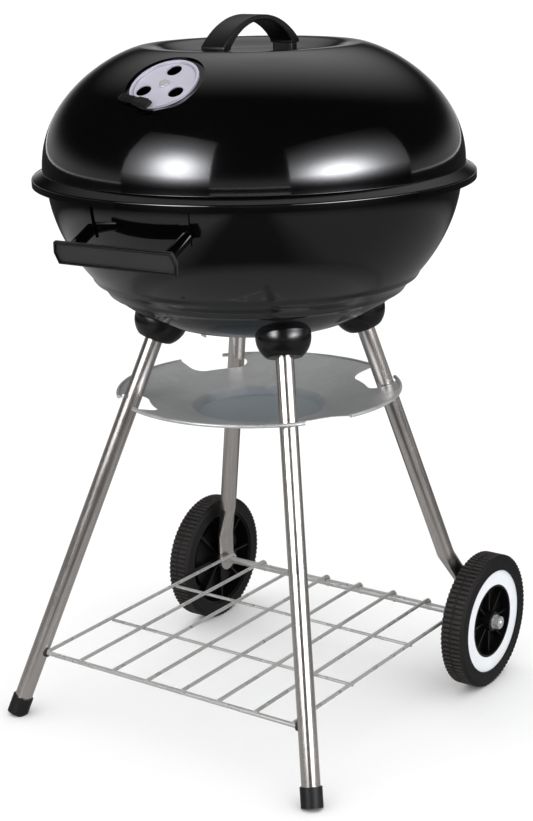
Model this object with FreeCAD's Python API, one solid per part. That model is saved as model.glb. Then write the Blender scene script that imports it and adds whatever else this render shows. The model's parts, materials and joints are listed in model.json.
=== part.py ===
import FreeCAD, Part
import math
import os

# Kettle charcoal grill on a four-leg wheeled stand.
# Millimetres.  Origin: on the ground, under the kettle's axis.
# +Z is up, the axle runs along X, the wheels are at +Y and the carrying handle is at -Y.

V = FreeCAD.Vector
X = V(1, 0, 0)
Y = V(0, 1, 0)
Z = V(0, 0, 1)
FULL_TURN = 360

# ---------------------------------------------------------------- shared sizes
sheet = 1.2                 # enamelled steel sheet of lid and bowl
gap = 0.4                   # clearance between pieces that move past each other
running_fit = 0.05          # radial clearance of a pin in its bore
bite = 0.8                  # depth by which welded wires sink into each other

# ---------------------------------------------------------------- lid
lid_foot_r = 218.8          # foot of the dome, where it meets the flange
lid_foot_z = 594.8
lid_crown_r = 112.9         # where the dome runs level into the crest
lid_crest_z = 717.5
lid_r_power = 1.35          # superellipse powers of the dome
lid_z_power = 2.14
crest_inner_r = 103.0       # inner edge of the level crest
recess_floor_r = 70.0       # dished recess under the lid handle
recess_depth = 10.5
flange_r = 230.0            # outer radius of the flange that covers the bowl's rim
flange_z = 588.4
flange_round = 1.8
skirt_drop = 7.4

# ---------------------------------------------------------------- bowl
bowl_r = 214.7              # top of the wall
bowl_top_z = 584.8
bowl_floor_r = 63.3         # flat floor
bowl_floor_z = 426.5
bowl_r_power = 1.73
bowl_z_power = 1.83
rim_bead_r = 3.4            # rolled rim
ridge_zs = (481.0, 466.6)   # pressed ridges round the bowl
ridge_height = 1.7
ridge_half_width = 4.6

# ---------------------------------------------------------------- lid handle
handle_span = 132.0         # along Y
handle_width = 28.0
handle_rise = 32.0          # foot to apex
handle_thickness = 4.8
handle_foot_thickness = 13.5
spacer_height = 7.6
spacer_inset = 1.5          # spacers stand back this far under the feet
handle_screw_r = 2.5
screw_head_r = 5.5
screw_head_height = 2.6
handle_screw_depth = 7.0    # length of the screw inside the foot

# ---------------------------------------------------------------- lid damper
vent_azimuth = -85.0        # degrees about Z from +X
vent_r = 162.5              # distance from the kettle's axis
seat_r = 42.0               # pressed flat seat in the dome
seat_depth = 5.5            # below the dome at the seat's centre
seat_tilt = -2.3            # degrees; the seat lies a little flatter than the dome
disc_r = 35.0
disc_thickness = 1.2
disc_rim_width = 2.6
disc_rim_height = 1.5
vent_hole_r = 7.8
vent_circle_r = 21.0
vent_count = 3
vent_phase = 90.0           # degrees, about the seat's own axis
rivet_r = 3.0
rivet_head_r = 5.0
rivet_head_height = 1.6
tab_heading = 256.5         # degrees, about the seat's own axis, to the middle of the lever's foot
tab_offset = 33.0           # from the disc's centre to the lever's centre line
tab_width = 7.0
tab_tip = 27.5              # how far the lever runs past its foot
tab_heel = 11.5             # how far it runs the other way
tab_rise = 4.4              # underside of the lever above the seat
tab_thickness = 3.1
tab_root_reach = 38.5       # outer edge of the wide root
tab_root_length = 8.0       # of the wide root, on the tip's side
tab_root_thickness = 2.6
tab_foot_width = 12.0
tab_foot_depth = 3.9
tab_rib_count = 5
tab_rib_width = 1.2
tab_rib_height = 0.6

# ---------------------------------------------------------------- bowl damper
ash_disc_r = 46.0
ash_hole_r = 11.5
ash_circle_r = 27.0
ash_hole_count = 3
ash_lever_tip_r = 63.0
ash_lever_width = 12.0
ash_lever_drop = 7.0
ash_lever_heading = -120.0  # degrees about Z

# ---------------------------------------------------------------- grates
grate_wire_r = 1.9
grate_ring_r = 2.6
cooking_grate_z = 568.0
cooking_grate_pitch = 16.0
charcoal_grate_z = 497.0
charcoal_grate_pitch = 22.0
grate_bar_x = 88.0          # bars that cross the wires
wall_clearance = 1.2        # between a grate's ring and the bowl's wall
bracket_count = 3
bracket_width = 22.0
bracket_reach = 11.0        # how far a bracket stands out from the wall
bracket_thickness = 1.6
bracket_drop = 16.0

# ---------------------------------------------------------------- legs
tube_r = 9.5
tube_wall = 1.2
front_leg_top = V(69.0, -53.5, 470.0)    # points on the leg's axis, right-hand side
front_leg_foot = V(197.2, -197.2, 0.0)
rear_leg_top = V(70.3, 67.6, 470.0)
rear_leg_aim = V(171.6, 154.2, 75.0)
flat_thickness = 5.0        # flattened end of the rear leg, across the axle
flat_width = 27.0
press_start_z = 152.0       # where the round tube starts to flatten
press_end_z = 108.0
socket_top_r = 28.5         # socket that joins a leg to the bowl
socket_bottom_r = 18.0
socket_depth = 23.0         # below the bowl along the leg
socket_floor = 9.0          # between the bowl and the tube's end
plug_length = 18.0
leg_bolt_r = 3.0
leg_bolt_head_r = 6.5
leg_bolt_head_height = 3.0
cap_wall = 1.8
cap_height = 20.5
cap_floor = 4.0
cap_lift = 0.8              # height of the cap's end centre above the ground

# ---------------------------------------------------------------- wheels and axle
wheel_r = 75.5
wheel_width = 27.0
axle_y = 156.5
axle_r = 4.0
tyre_inner_r = 58.2
tyre_shoulder = 4.0
ring_inner_r = 41.5         # white ring on the outer face
ring_thickness = 2.2
drum_wall = 2.4
web_thickness = 3.0
boss_r = 11.0
hub_rib_count = 8
hub_rib_thickness = 2.2
spacer_thickness = 2.0
washer_r = 8.0
washer_thickness = 1.4
nut_across_flats = 13.0
nut_height = 7.0
axle_tail = 1.6             # thread that stands out past the nut

# ---------------------------------------------------------------- shelf
rail_r = 2.5
rail_z = 71.2
shelf_wire_r = 2.0
shelf_wire_count = 8
shelf_side_room = 5.48       # between an outer wire's centre and the front leg's side
shelf_cross_ys = (-70.0, 46.0)
shelf_cross_r = 1.7
shelf_overhang = 2.6        # wire ends in front of the rail
hook_turn = 150.0           # degrees that a wire hooks round the axle
grommet_r = 4.6
grommet_neck_r = 3.4
grommet_lip = 1.6
grommet_depth = 4.0

# ---------------------------------------------------------------- ash tray
tray_rim_r = 153.3
tray_rim_z = 354.5
tray_bead_r = 2.0
tray_sheet = 0.9
tray_well_r = 73.5
tray_well_z = 336.0
tray_floor_r = 66.0
tray_floor_z = 328.0
slot_inner_r = 118.5
slot_rim_width = 4.0        # drop of the sheet from the rim to the slot
slot_leg_gap = 0.7          # between a leg and the rim that hooks outside it
slot_back_angle = 1.5       # degrees; the slot's closed end
slot_open_from = 5.0        # degrees past the leg where the rim is open
slot_open_to = 25.0

# ---------------------------------------------------------------- side handle
handle_azimuth = -87.0      # degrees about Z from +X
grip_reach = 248.0          # from the kettle's axis to the grip's upper front edge
grip_top_z = 548.0
grip_half_length = 72.0     # at its widest, halfway down
grip_corner_inset = 3.0     # the ends narrow this much to the upper and lower corners
grip_height = 24.0
grip_thickness = 5.0
grip_border = 2.2
grip_pan_depth = 2.0
grip_lean = 18.0            # degrees; the upper edge leans outwards
grip_round = 1.0
arm_x = 56.0
arm_r = 6.0
arm_rise = 16.0             # from the grip up to the bowl's wall
arm_bolt_r = 2.5
arm_bolt_grip = 14.0        # length of the bolt inside the arm
arm_bolt_head_r = 5.0
arm_bolt_head_height = 2.4
strap_width = 9.0           # strap that is welded to the bowl behind each arm
strap_thickness = 2.0
strap_top_z = 582.0


# ================================================================ geometry helpers
def save(name, *solids):
    shape = solids[0] if len(solids) == 1 else Part.makeCompound(list(solids))
    shape.exportStep("parts/%s.step" % name)


def polar(radius, degrees, z=0.0):
    angle = math.radians(degrees)
    return V(radius * math.cos(angle), radius * math.sin(angle), z)


def cylinder(radius, start, end):
    along = end - start
    return Part.makeCylinder(radius, along.Length, start, along)


def ring(outer_r, inner_r, start, end):
    reach = (end - start).normalize()
    return cylinder(outer_r, start, end).cut(cylinder(inner_r, start - reach, end + reach))


def box(low, high):
    size = high - low
    return Part.makeBox(size.x, size.y, size.z, low)


def fused(solids):
    return solids[0].multiFuse(solids[1:]).removeSplitter()


def place(shape, origin, normal):
    """A copy of a shape made about Z, moved so that Z points along the normal and X stays level."""
    level = Z.cross(normal).normalize()
    moved = shape.copy()
    seat = FreeCAD.Placement(origin, FreeCAD.Rotation(level, normal.cross(level), normal, "ZXY"))
    moved.Placement = seat.multiply(moved.Placement)
    return moved


def mirrored(shape):
    return shape.mirror(V(0, 0, 0), X)


def turned(shape, degrees, centre=V(0, 0, 0), axis=Z):
    moved = shape.copy()
    moved.rotate(centre, axis, degrees)
    return moved


def offset_points(points, distance):
    """The same chain of (r, z) points, moved to its right-hand side with mitred corners."""
    normals = []
    for start, end in zip(points, points[1:]):
        length = math.hypot(end[0] - start[0], end[1] - start[1])
        normals.append(((end[1] - start[1]) / length, (start[0] - end[0]) / length))
    moved = []
    for index, point in enumerate(points):
        before = normals[max(index - 1, 0)]
        after = normals[min(index, len(normals) - 1)]
        spread = 1 + before[0] * after[0] + before[1] * after[1]
        moved.append(tuple(point[k] + distance * (before[k] + after[k]) / spread for k in (0, 1)))
    return moved


def chain_edges(points, smooth_from, smooth_to):
    """Straight edges through the points, with one smooth curve between two of them."""
    spots = [V(r, 0, z) for r, z in points]
    edges = [Part.makeLine(a, b) for a, b in zip(spots[:smooth_from], spots[1:smooth_from + 1])]
    curve = Part.BSplineCurve()
    curve.interpolate(spots[smooth_from:smooth_to + 1])
    edges.append(curve.toShape())
    edges += [Part.makeLine(a, b) for a, b in zip(spots[smooth_to:], spots[smooth_to + 1:])]
    return edges


def revolve(edges):
    face = Part.Face(Part.Wire(Part.__sortEdges__(edges)))
    return face.revolve(V(0, 0, 0), Z, FULL_TURN)


def outline(points):
    """A closed face in the XZ plane from (r, z) corners."""
    spots = [V(r, 0, z) for r, z in points]
    return Part.Face(Part.makePolygon(spots + spots[:1]))


def sheet_solid(points, thickness, smooth_from, smooth_to):
    """A turned sheet: the chain, the chain moved inwards, and straight edges that close it."""
    inner = offset_points(points, -thickness)
    edges = chain_edges(points, smooth_from, smooth_to)
    edges += chain_edges(inner, smooth_from, smooth_to)
    edges.append(Part.makeLine(V(points[0][0], 0, points[0][1]), V(inner[0][0], 0, inner[0][1])))
    edges.append(Part.makeLine(V(points[-1][0], 0, points[-1][1]), V(0, 0, inner[-1][1])))
    return revolve(edges)


def filled_solid(points, smooth_from, smooth_to):
    """Everything inside the chain, down to the axis."""
    edges = chain_edges(points, smooth_from, smooth_to)
    first = V(points[0][0], 0, points[0][1])
    foot = V(0, 0, points[0][1])
    edges.append(Part.makeLine(first, foot))
    edges.append(Part.makeLine(foot, V(0, 0, points[-1][1])))
    return revolve(edges)


# ================================================================ lid profile
DOME_STEPS = 12
RECESS_STEPS = 6


def dome_point(degrees):
    angle = math.radians(degrees)
    reach = math.cos(angle) ** (2 / lid_r_power)
    climb = math.sin(angle) ** (2 / lid_z_power)
    return (lid_crown_r + (lid_foot_r - lid_crown_r) * reach,
            lid_foot_z + (lid_crest_z - lid_foot_z) * climb)


def recess_point(share):
    fall = (1 - math.cos(math.pi * share)) / 2
    return (crest_inner_r + (recess_floor_r - crest_inner_r) * share,
            lid_crest_z - recess_depth * fall)


def flange_points():
    corner = math.hypot(flange_r - lid_foot_r, flange_z - lid_foot_z)
    along = ((lid_foot_r - flange_r) / corner, (lid_foot_z - flange_z) / corner)
    return [(flange_r, flange_z - skirt_drop),
            (flange_r, flange_z - flange_round),
            (flange_r + along[0] * flange_round, flange_z + along[1] * flange_round)]


def lid_points():
    points = flange_points()
    points += [dome_point(90.0 * k / DOME_STEPS) for k in range(DOME_STEPS)]
    points.append((lid_crown_r, lid_crest_z))
    points += [recess_point(k / RECESS_STEPS) for k in range(RECESS_STEPS + 1)]
    points.append((0.0, lid_crest_z - recess_depth))
    return points


LID_SMOOTH_FROM = 3
LID_SMOOTH_TO = LID_SMOOTH_FROM + DOME_STEPS + 1 + RECESS_STEPS
recess_floor_z = lid_crest_z - recess_depth


# ================================================================ bowl profile
BOWL_STEPS = 12


def bowl_angle(radius):
    reach = (radius - bowl_floor_r) / (bowl_r - bowl_floor_r)
    return math.degrees(math.acos(reach ** (bowl_r_power / 2)))


def bowl_point(degrees):
    angle = math.radians(degrees)
    reach = math.cos(angle) ** (2 / bowl_r_power)
    drop = math.sin(angle) ** (2 / bowl_z_power)
    return (bowl_floor_r + (bowl_r - bowl_floor_r) * reach,
            bowl_top_z - (bowl_top_z - bowl_floor_z) * drop)


def bowl_height(radius):
    """Height of the bowl's outer surface at a distance from the axis."""
    return bowl_point(bowl_angle(radius))[1] if radius > bowl_floor_r else bowl_floor_z


def bowl_radius(z):
    """Distance of the bowl's outer surface from the axis at a height."""
    drop = (bowl_top_z - z) / (bowl_top_z - bowl_floor_z)
    return bowl_point(math.degrees(math.asin(drop ** (bowl_z_power / 2))))[0]


def bowl_slope(z):
    """Angle of the bowl's wall from the vertical at a height, in degrees."""
    step = 0.5
    return math.degrees(math.atan2(bowl_radius(z + step) - bowl_radius(z - step), 2 * step))


def bowl_points():
    """The outer surface from the floor's centre up to the flare under the rolled rim."""
    angles = [90.0 - 90.0 * k / BOWL_STEPS for k in range(BOWL_STEPS + 1)]
    return [(0.0, bowl_floor_z)] + [bowl_point(angle) for angle in angles]


def flare_underside(radius):
    """Height of the flange's underside above the bowl's rim."""
    slope = (lid_foot_z - flange_z) / (flange_r - lid_foot_r)
    return lid_foot_z - (radius - lid_foot_r) * slope - sheet * math.hypot(1, slope)


rim_bead_centre_r = bowl_r + rim_bead_r
flange_slope = math.atan2(lid_foot_z - flange_z, flange_r - lid_foot_r)
rim_bead_centre_z = flare_underside(rim_bead_centre_r) - (rim_bead_r + gap) / math.cos(flange_slope)


# ================================================================ lid pieces
def vent_frame():
    """Centre of the vent's seat and the dome's outward normal there."""
    reach = (vent_r - lid_crown_r) / (lid_foot_r - lid_crown_r)
    angle = math.degrees(math.acos(reach ** (lid_r_power / 2)))
    step = 0.5
    low = dome_point(angle - step)
    high = dome_point(angle + step)
    lean = math.atan2(high[1] - low[1], low[0] - high[0]) + math.radians(seat_tilt)
    normal = polar(math.sin(lean), vent_azimuth, math.cos(lean))
    centre = polar(vent_r, vent_azimuth, dome_point(angle)[1]) - normal * seat_depth
    return centre, normal


VENT_CENTRE, VENT_NORMAL = vent_frame()


def on_seat(shape):
    """Moves a shape made about Z, with the seat's face at zero, onto the dome."""
    return place(shape, VENT_CENTRE, VENT_NORMAL)


def hole_circle(count, circle_r, hole_r, phase, low, high):
    centres = [polar(circle_r, phase + FULL_TURN * k / count) for k in range(count)]
    return [cylinder(hole_r, c + Z * low, c + Z * high) for c in centres]


def lid_shell():
    points = lid_points()
    shell = sheet_solid(points, sheet, LID_SMOOTH_FROM, LID_SMOOTH_TO)
    whole = filled_solid(points, LID_SMOOTH_FROM, LID_SMOOTH_TO)
    deep = 3 * seat_depth
    bore = on_seat(cylinder(seat_r - sheet, V(0, 0, -deep), V(0, 0, deep)))
    cup = on_seat(cylinder(seat_r, V(0, 0, -sheet), V(0, 0, deep))).common(whole)
    cup = cup.cut(on_seat(cylinder(seat_r - sheet, V(0, 0, 0), V(0, 0, deep))))
    shell = shell.cut(bore).fuse(cup).removeSplitter()
    holes = hole_circle(vent_count, vent_circle_r, vent_hole_r, vent_phase, -deep, deep)
    holes.append(cylinder(rivet_r, V(0, 0, -deep), V(0, 0, deep)))
    shell = shell.cut([on_seat(hole) for hole in holes])
    return shell.cut([handle_bore(side, handle_screw_r) for side in (-1, 1)])


def handle_foot_y():
    return (handle_span - handle_foot_thickness) / 2


def handle_bore(side, radius):
    centre = V(0, side * handle_foot_y(), recess_floor_z)
    return cylinder(radius, centre - Z * 3 * sheet, centre + Z * (spacer_height + handle_screw_depth))


def arch_face(half_span, rise, base_z):
    """Face under a round arch that stands on straight feet, in the YZ plane."""
    foot_rise = 0.12 * rise
    radius = (half_span ** 2 + (rise - foot_rise) ** 2) / (2 * (rise - foot_rise))
    radius = max(radius, half_span)
    shoulder = V(0, half_span, base_z + foot_rise)
    apex = V(0, 0, base_z + rise)
    left = V(0, -half_span, base_z + foot_rise)
    feet = [V(0, -half_span, base_z), V(0, half_span, base_z)]
    edges = [Part.Arc(left, apex, shoulder).toShape(),
             Part.makeLine(shoulder, feet[1]),
             Part.makeLine(feet[1], feet[0]),
             Part.makeLine(feet[0], left)]
    return Part.Face(Part.Wire(edges))


def lid_handle():
    base_z = recess_floor_z + spacer_height
    start = X * (-handle_width / 2)
    outer = arch_face(handle_span / 2, handle_rise, base_z)
    inner = arch_face(handle_span / 2 - handle_foot_thickness, handle_rise - handle_thickness,
                      base_z - bite)
    outer.translate(start)
    inner.translate(start - X)
    strap = outer.extrude(X * handle_width).cut(inner.extrude(X * (handle_width + 2)))
    edge_round = 2.0
    rounded = [edge for edge in strap.Edges if edge.Curve.TypeId == "Part::GeomCircle"
               and edge.BoundBox.ZMax > base_z + handle_rise - 1]
    strap = strap.makeFillet(edge_round, rounded)
    return strap.cut([handle_bore(side, handle_screw_r) for side in (-1, 1)])


def lid_handle_spacers():
    half_x = handle_width / 2 - spacer_inset
    half_y = handle_foot_thickness / 2 - spacer_inset / 2
    spacers = []
    for side in (-1, 1):
        foot = V(0, side * handle_foot_y(), recess_floor_z)
        block = box(foot - V(half_x, half_y, 0), foot + V(half_x, half_y, spacer_height))
        upright = [edge for edge in block.Edges if edge.BoundBox.ZLength > spacer_height / 2]
        spacers.append(block.makeFillet(2 * spacer_inset, upright).cut(handle_bore(side, handle_screw_r)))
    return spacers


def lid_handle_screws():
    screws = []
    for side in (-1, 1):
        under = V(0, side * handle_foot_y(), recess_floor_z - sheet)
        tip = under + Z * (sheet + spacer_height + handle_screw_depth - 1)
        head = cylinder(screw_head_r, under - Z * screw_head_height, under)
        screws.append(head.fuse(cylinder(handle_screw_r, under - Z * 0.5, tip)).removeSplitter())
    return screws


def lid_damper_disc():
    base = Z * gap
    top = base + Z * disc_thickness
    disc = cylinder(disc_r, base, top)
    rim = ring(disc_r, disc_r - disc_rim_width, top - Z * 0.2, top + Z * disc_rim_height)
    disc = disc.fuse(rim).removeSplitter()
    holes = hole_circle(vent_count, vent_circle_r, vent_hole_r, vent_phase, -1, disc_r)
    holes.append(cylinder(rivet_r + running_fit, -Z, Z * disc_r))
    return on_seat(disc.cut(holes))


def lid_damper_tab():
    """Moulded lever whose foot stands on the disc, inside its rim; it runs past the rim to one side."""
    floor = gap + disc_thickness
    inner = tab_offset - tab_width / 2
    outer = tab_offset + tab_width / 2
    top = tab_rise + tab_thickness
    bar = box(V(inner, -tab_tip, tab_rise), V(outer, tab_heel, top))
    root_top = tab_rise + tab_root_thickness
    root = box(V(inner, -tab_root_length, tab_rise), V(tab_root_reach, tab_heel, root_top))
    half_foot = tab_foot_width / 2
    foot_outer = math.sqrt((disc_r - disc_rim_width - gap) ** 2 - half_foot ** 2)
    foot_inner = foot_outer - tab_foot_depth
    foot = box(V(foot_inner, -half_foot, floor), V(foot_outer, half_foot, root_top))
    ribs = []
    pitch = (tab_tip - tab_root_length) / (tab_rib_count + 1)
    for k in range(tab_rib_count):
        y = -tab_tip + pitch * (k + 1)
        low = V(inner, y - tab_rib_width / 2, top - tab_rib_height)
        ribs.append(box(low, V(outer, y + tab_rib_width / 2, top + tab_rib_height)))
    body = fused([bar, root, foot] + ribs)
    return on_seat(turned(body, tab_heading))


def lid_damper_rivet():
    lower = -sheet - rivet_head_height
    upper = 2 * gap + disc_thickness
    stem = cylinder(rivet_r, Z * lower, Z * (upper + 0.5))
    heads = [cylinder(rivet_head_r, Z * lower, Z * -sheet),
             cylinder(rivet_head_r, Z * upper, Z * (upper + rivet_head_height))]
    return on_seat(fused([stem] + heads))


# ================================================================ bowl pieces
def ridge_ring(z):
    """A pressed ridge: a low rounded bead on the outer wall."""
    radius = bowl_radius(z)
    bulge = (ridge_half_width ** 2 + ridge_height ** 2) / (2 * ridge_height)
    slope = math.radians(bowl_slope(z))
    inset = bulge - ridge_height
    centre = (radius - inset * math.cos(slope), z + inset * math.sin(slope))
    return Part.makeTorus(centre[0], bulge, V(0, 0, centre[1]), Z)


def bowl_core(inset):
    """Everything inside the bowl's wall, moved inwards by an inset."""
    points = offset_points(bowl_points(), -inset) if inset else bowl_points()
    edges = chain_edges(points, 1, 1 + BOWL_STEPS)
    last = V(points[-1][0], 0, points[-1][1])
    lid = V(0, 0, last.z)
    edges.append(Part.makeLine(last, lid))
    edges.append(Part.makeLine(lid, V(0, 0, points[0][1])))
    return revolve(edges)


BOWL_OUTER = bowl_core(0)
BOWL_INNER = bowl_core(sheet)


def bowl_rim():
    """Short flare and rolled bead on top of the wall."""
    bead = Part.makeTorus(rim_bead_centre_r, rim_bead_r, V(0, 0, rim_bead_centre_z), Z)
    neck = outline([(bowl_r - sheet, bowl_top_z - 0.5), (bowl_r, bowl_top_z - 0.5),
                    (rim_bead_centre_r, rim_bead_centre_z), (rim_bead_centre_r - sheet,
                                                            rim_bead_centre_z + sheet),
                    (bowl_r - sheet, rim_bead_centre_z)])
    return bead.fuse(neck.revolve(V(0, 0, 0), Z, FULL_TURN))


def bowl_shell():
    bulges = [ridge_ring(z) for z in ridge_zs]
    outer = BOWL_OUTER.multiFuse([bulge.cut(BOWL_INNER) for bulge in bulges])
    shell = outer.cut(BOWL_INNER).fuse(bowl_rim()).removeSplitter()
    low = bowl_floor_z - sheet
    high = bowl_floor_z + 2 * sheet
    cuts = hole_circle(ash_hole_count, ash_circle_r, ash_hole_r, 0.0, low, high)
    cuts.append(cylinder(rivet_r, Z * low, Z * high))
    cuts += [leg_bolt_hole(leg) for leg in LEGS]
    cuts += [on_handle(arm_bore(side)) for side in (-1, 1)]
    return shell.cut(cuts)


def bowl_damper_disc():
    top = bowl_floor_z - gap
    base = top - disc_thickness
    disc = cylinder(ash_disc_r, Z * base, Z * top)
    lever = box(V(ash_disc_r - 8, -ash_lever_width / 2, base),
                V(ash_lever_tip_r, ash_lever_width / 2, top))
    turndown = box(V(ash_lever_tip_r - disc_thickness, -ash_lever_width / 2, base - ash_lever_drop),
                   V(ash_lever_tip_r, ash_lever_width / 2, top))
    disc = fused([disc, turned(lever, ash_lever_heading), turned(turndown, ash_lever_heading)])
    holes = hole_circle(ash_hole_count, ash_circle_r, ash_hole_r, 0.0, base - 1, top + 1)
    holes.append(cylinder(rivet_r + running_fit, Z * (base - 1), Z * (top + 1)))
    return disc.cut(holes)


def bowl_damper_rivet():
    inside = bowl_floor_z + sheet
    outside = bowl_floor_z - 2 * gap - disc_thickness
    stem = cylinder(rivet_r, Z * (outside - 0.5), Z * (inside + 0.5))
    heads = [cylinder(rivet_head_r, Z * inside, Z * (inside + rivet_head_height)),
             cylinder(rivet_head_r, Z * (outside - rivet_head_height), Z * outside)]
    return fused([stem] + heads)


def grate(z, pitch):
    """Round welded grate: a ring, wires along X laid on it and two bars under the wires."""
    lean = math.cos(math.radians(bowl_slope(z)))
    ring_r = bowl_radius(z) - (sheet + grate_ring_r + wall_clearance) / lean
    wire_z = z + grate_ring_r + grate_wire_r - bite
    pieces = [Part.makeTorus(ring_r, grate_ring_r, V(0, 0, z), Z)]
    rows = int(ring_r / pitch - 0.35)
    for k in range(-rows, rows + 1):
        reach = math.sqrt(ring_r ** 2 - (k * pitch) ** 2)
        pieces.append(cylinder(grate_wire_r, V(-reach, k * pitch, wire_z), V(reach, k * pitch, wire_z)))
    bar_reach = math.sqrt(ring_r ** 2 - grate_bar_x ** 2)
    bar_z = wire_z - 2 * grate_wire_r + bite
    for x in (-grate_bar_x, grate_bar_x):
        pieces.append(cylinder(grate_wire_r, V(x, -bar_reach, bar_z), V(x, bar_reach, bar_z)))
    return fused(pieces)


def grate_brackets():
    """Angle tabs inside the wall that carry the cooking grate."""
    top = cooking_grate_z - grate_ring_r - gap
    wall_r = bowl_radius(top) - sheet
    half = bracket_width / 2
    shelf = box(V(wall_r - bracket_reach, -half, top - bracket_thickness), V(wall_r + 20, half, top))
    leg = box(V(wall_r - bracket_reach, -half, top - bracket_drop), V(wall_r + 20, half, top))
    hollow = box(V(0, -half - 1, top - bracket_drop - 1),
                 V(wall_r - bracket_thickness - 0.6, half + 1, top - bracket_thickness))
    tab = shelf.fuse(leg.cut(hollow)).removeSplitter().common(BOWL_INNER)
    headings = [30.0 + FULL_TURN * k / bracket_count for k in range(bracket_count)]
    return [turned(tab, heading) for heading in headings]


# ================================================================ legs
def leg_contact(start, along):
    """Point where a leg's axis meets the bowl's outer surface."""
    low = 0.0
    high = 90.0
    for _ in range(40):
        middle = (low + high) / 2
        point = start + along * middle
        if point.z > bowl_height(math.hypot(point.x, point.y)):
            low = middle
        else:
            high = middle
    return start + along * low


def make_leg(name, top, aim):
    along = (aim - top).normalize()
    return {"name": name, "along": along, "contact": leg_contact(top, along)}


def at_height(leg, z):
    """Point on a leg's axis at a height."""
    return leg["contact"] + leg["along"] * ((z - leg["contact"].z) / leg["along"].z)


def flip(point):
    return V(-point.x, point.y, point.z)


FRONT_LEGS = [make_leg("front_right", front_leg_top, front_leg_foot),
              make_leg("front_left", flip(front_leg_top), flip(front_leg_foot))]
REAR_LEGS = [make_leg("rear_right", rear_leg_top, rear_leg_aim),
             make_leg("rear_left", flip(rear_leg_top), flip(rear_leg_aim))]
LEGS = FRONT_LEGS + REAR_LEGS
rear_x = rear_leg_aim.x
axle_z = wheel_r


def leg_start(leg):
    return leg["contact"] + leg["along"] * socket_floor


def tube(start, end):
    return ring(tube_r, tube_r - tube_wall, start, end)


def cap_end(leg):
    """Centre of the foot cap's end face."""
    return at_height(leg, cap_lift)


def rail_bore(leg):
    """Hole in a front leg for the shelf rail's grommet."""
    centre = at_height(leg, rail_z)
    inward = X * (-math.copysign(2 * tube_r, centre.x))
    return cylinder(grommet_neck_r, centre, centre + inward)


def front_leg(leg):
    end = cap_end(leg) - leg["along"] * cap_floor
    return tube(leg_start(leg), end).cut(rail_bore(leg))


def stadium(centre, thickness, width):
    """Flattened-tube outline in a level plane, thin along X."""
    half_t = thickness / 2
    half_w = width / 2 - half_t
    corners = [centre + V(half_t, -half_w, 0), centre + V(half_t, half_w, 0),
               centre + V(-half_t, half_w, 0), centre + V(-half_t, -half_w, 0)]
    ends = [centre + V(0, width / 2, 0), centre - V(0, width / 2, 0)]
    edges = [Part.makeLine(corners[0], corners[1]),
             Part.Arc(corners[1], ends[0], corners[2]).toShape(),
             Part.makeLine(corners[2], corners[3]),
             Part.Arc(corners[3], ends[1], corners[0]).toShape()]
    return Part.Wire(edges)


def quartered_circle(centre, along, radius):
    """A circle across a leg, in four arcs that start level with the stadium's corners."""
    side = (X - along * X.dot(along)).normalize()
    back = along.cross(side) * -1
    if back.y < 0:
        back = back * -1
    spots = []
    for k in range(8):
        angle = math.radians(-45 + 45 * k)
        spots.append(centre + side * (radius * math.cos(angle)) + back * (radius * math.sin(angle)))
    edges = [Part.Arc(spots[k], spots[k + 1], spots[(k + 2) % 8]).toShape() for k in (0, 2, 4, 6)]
    return Part.Wire(edges)


def rear_leg(leg):
    """Round tube whose lower end is pressed flat and bent upright to take the axle."""
    side = math.copysign(rear_x, leg["contact"].x)
    press = at_height(leg, press_start_z)
    flat_top = V(side, axle_y, press_end_z)
    upper = tube(leg_start(leg), press)
    middle = Part.makeLoft([quartered_circle(press, leg["along"], tube_r),
                            stadium(flat_top, flat_thickness, flat_width)], True)
    flat = Part.Face(stadium(flat_top, flat_thickness, flat_width)).extrude(V(0, 0, axle_z - press_end_z))
    half = X * (flat_thickness / 2)
    centre = V(side, axle_y, axle_z)
    tip = cylinder(flat_width / 2, centre - half, centre + half)
    bore = cylinder(axle_r, centre - half - X, centre + half + X)
    return fused([upper, middle, flat, tip]).cut(bore)


def leg_socket(leg):
    """Moulded cup between the bowl and a leg, rounded like an upturned dome."""
    head = 22.0
    foot = V(0, 0, -socket_depth)
    rounding = 5.0
    profile = [V(0, 0, head), V(socket_top_r, 0, head), V(socket_top_r, 0, -2.0)]
    swell = V(socket_bottom_r + 0.82 * (socket_top_r - socket_bottom_r), 0, -0.5 * socket_depth)
    low = V(socket_bottom_r, 0, foot.z)
    edges = [Part.makeLine(profile[0], profile[1]),
             Part.makeLine(profile[1], profile[2]),
             Part.Arc(profile[2], swell, low).toShape(),
             Part.makeLine(low, foot),
             Part.makeLine(foot, profile[0])]
    cup = Part.Face(Part.Wire(edges)).revolve(V(0, 0, 0), Z, FULL_TURN)
    rim = [edge for edge in cup.Edges if abs(edge.BoundBox.ZMin + socket_depth) < 0.01
           and abs(edge.BoundBox.ZMax + socket_depth) < 0.01]
    cup = cup.makeFillet(rounding * 0.5, rim)
    cup = place(cup, leg["contact"], leg["along"] * -1)
    cup = cup.cut(BOWL_OUTER)
    start = leg_start(leg)
    cup = cup.cut(cylinder(tube_r, start, start + leg["along"] * socket_depth * 2))
    return cup.cut(leg_bolt_hole(leg))


def leg_plug(leg):
    """Threaded insert in the tube's upper end."""
    start = leg_start(leg)
    return ring(tube_r - tube_wall, leg_bolt_r, start, start + leg["along"] * plug_length)


def leg_bolt_hole(leg):
    return cylinder(leg_bolt_r, leg["contact"] - leg["along"] * 8,
                    leg_start(leg) + leg["along"] * (plug_length + 6))


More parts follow.
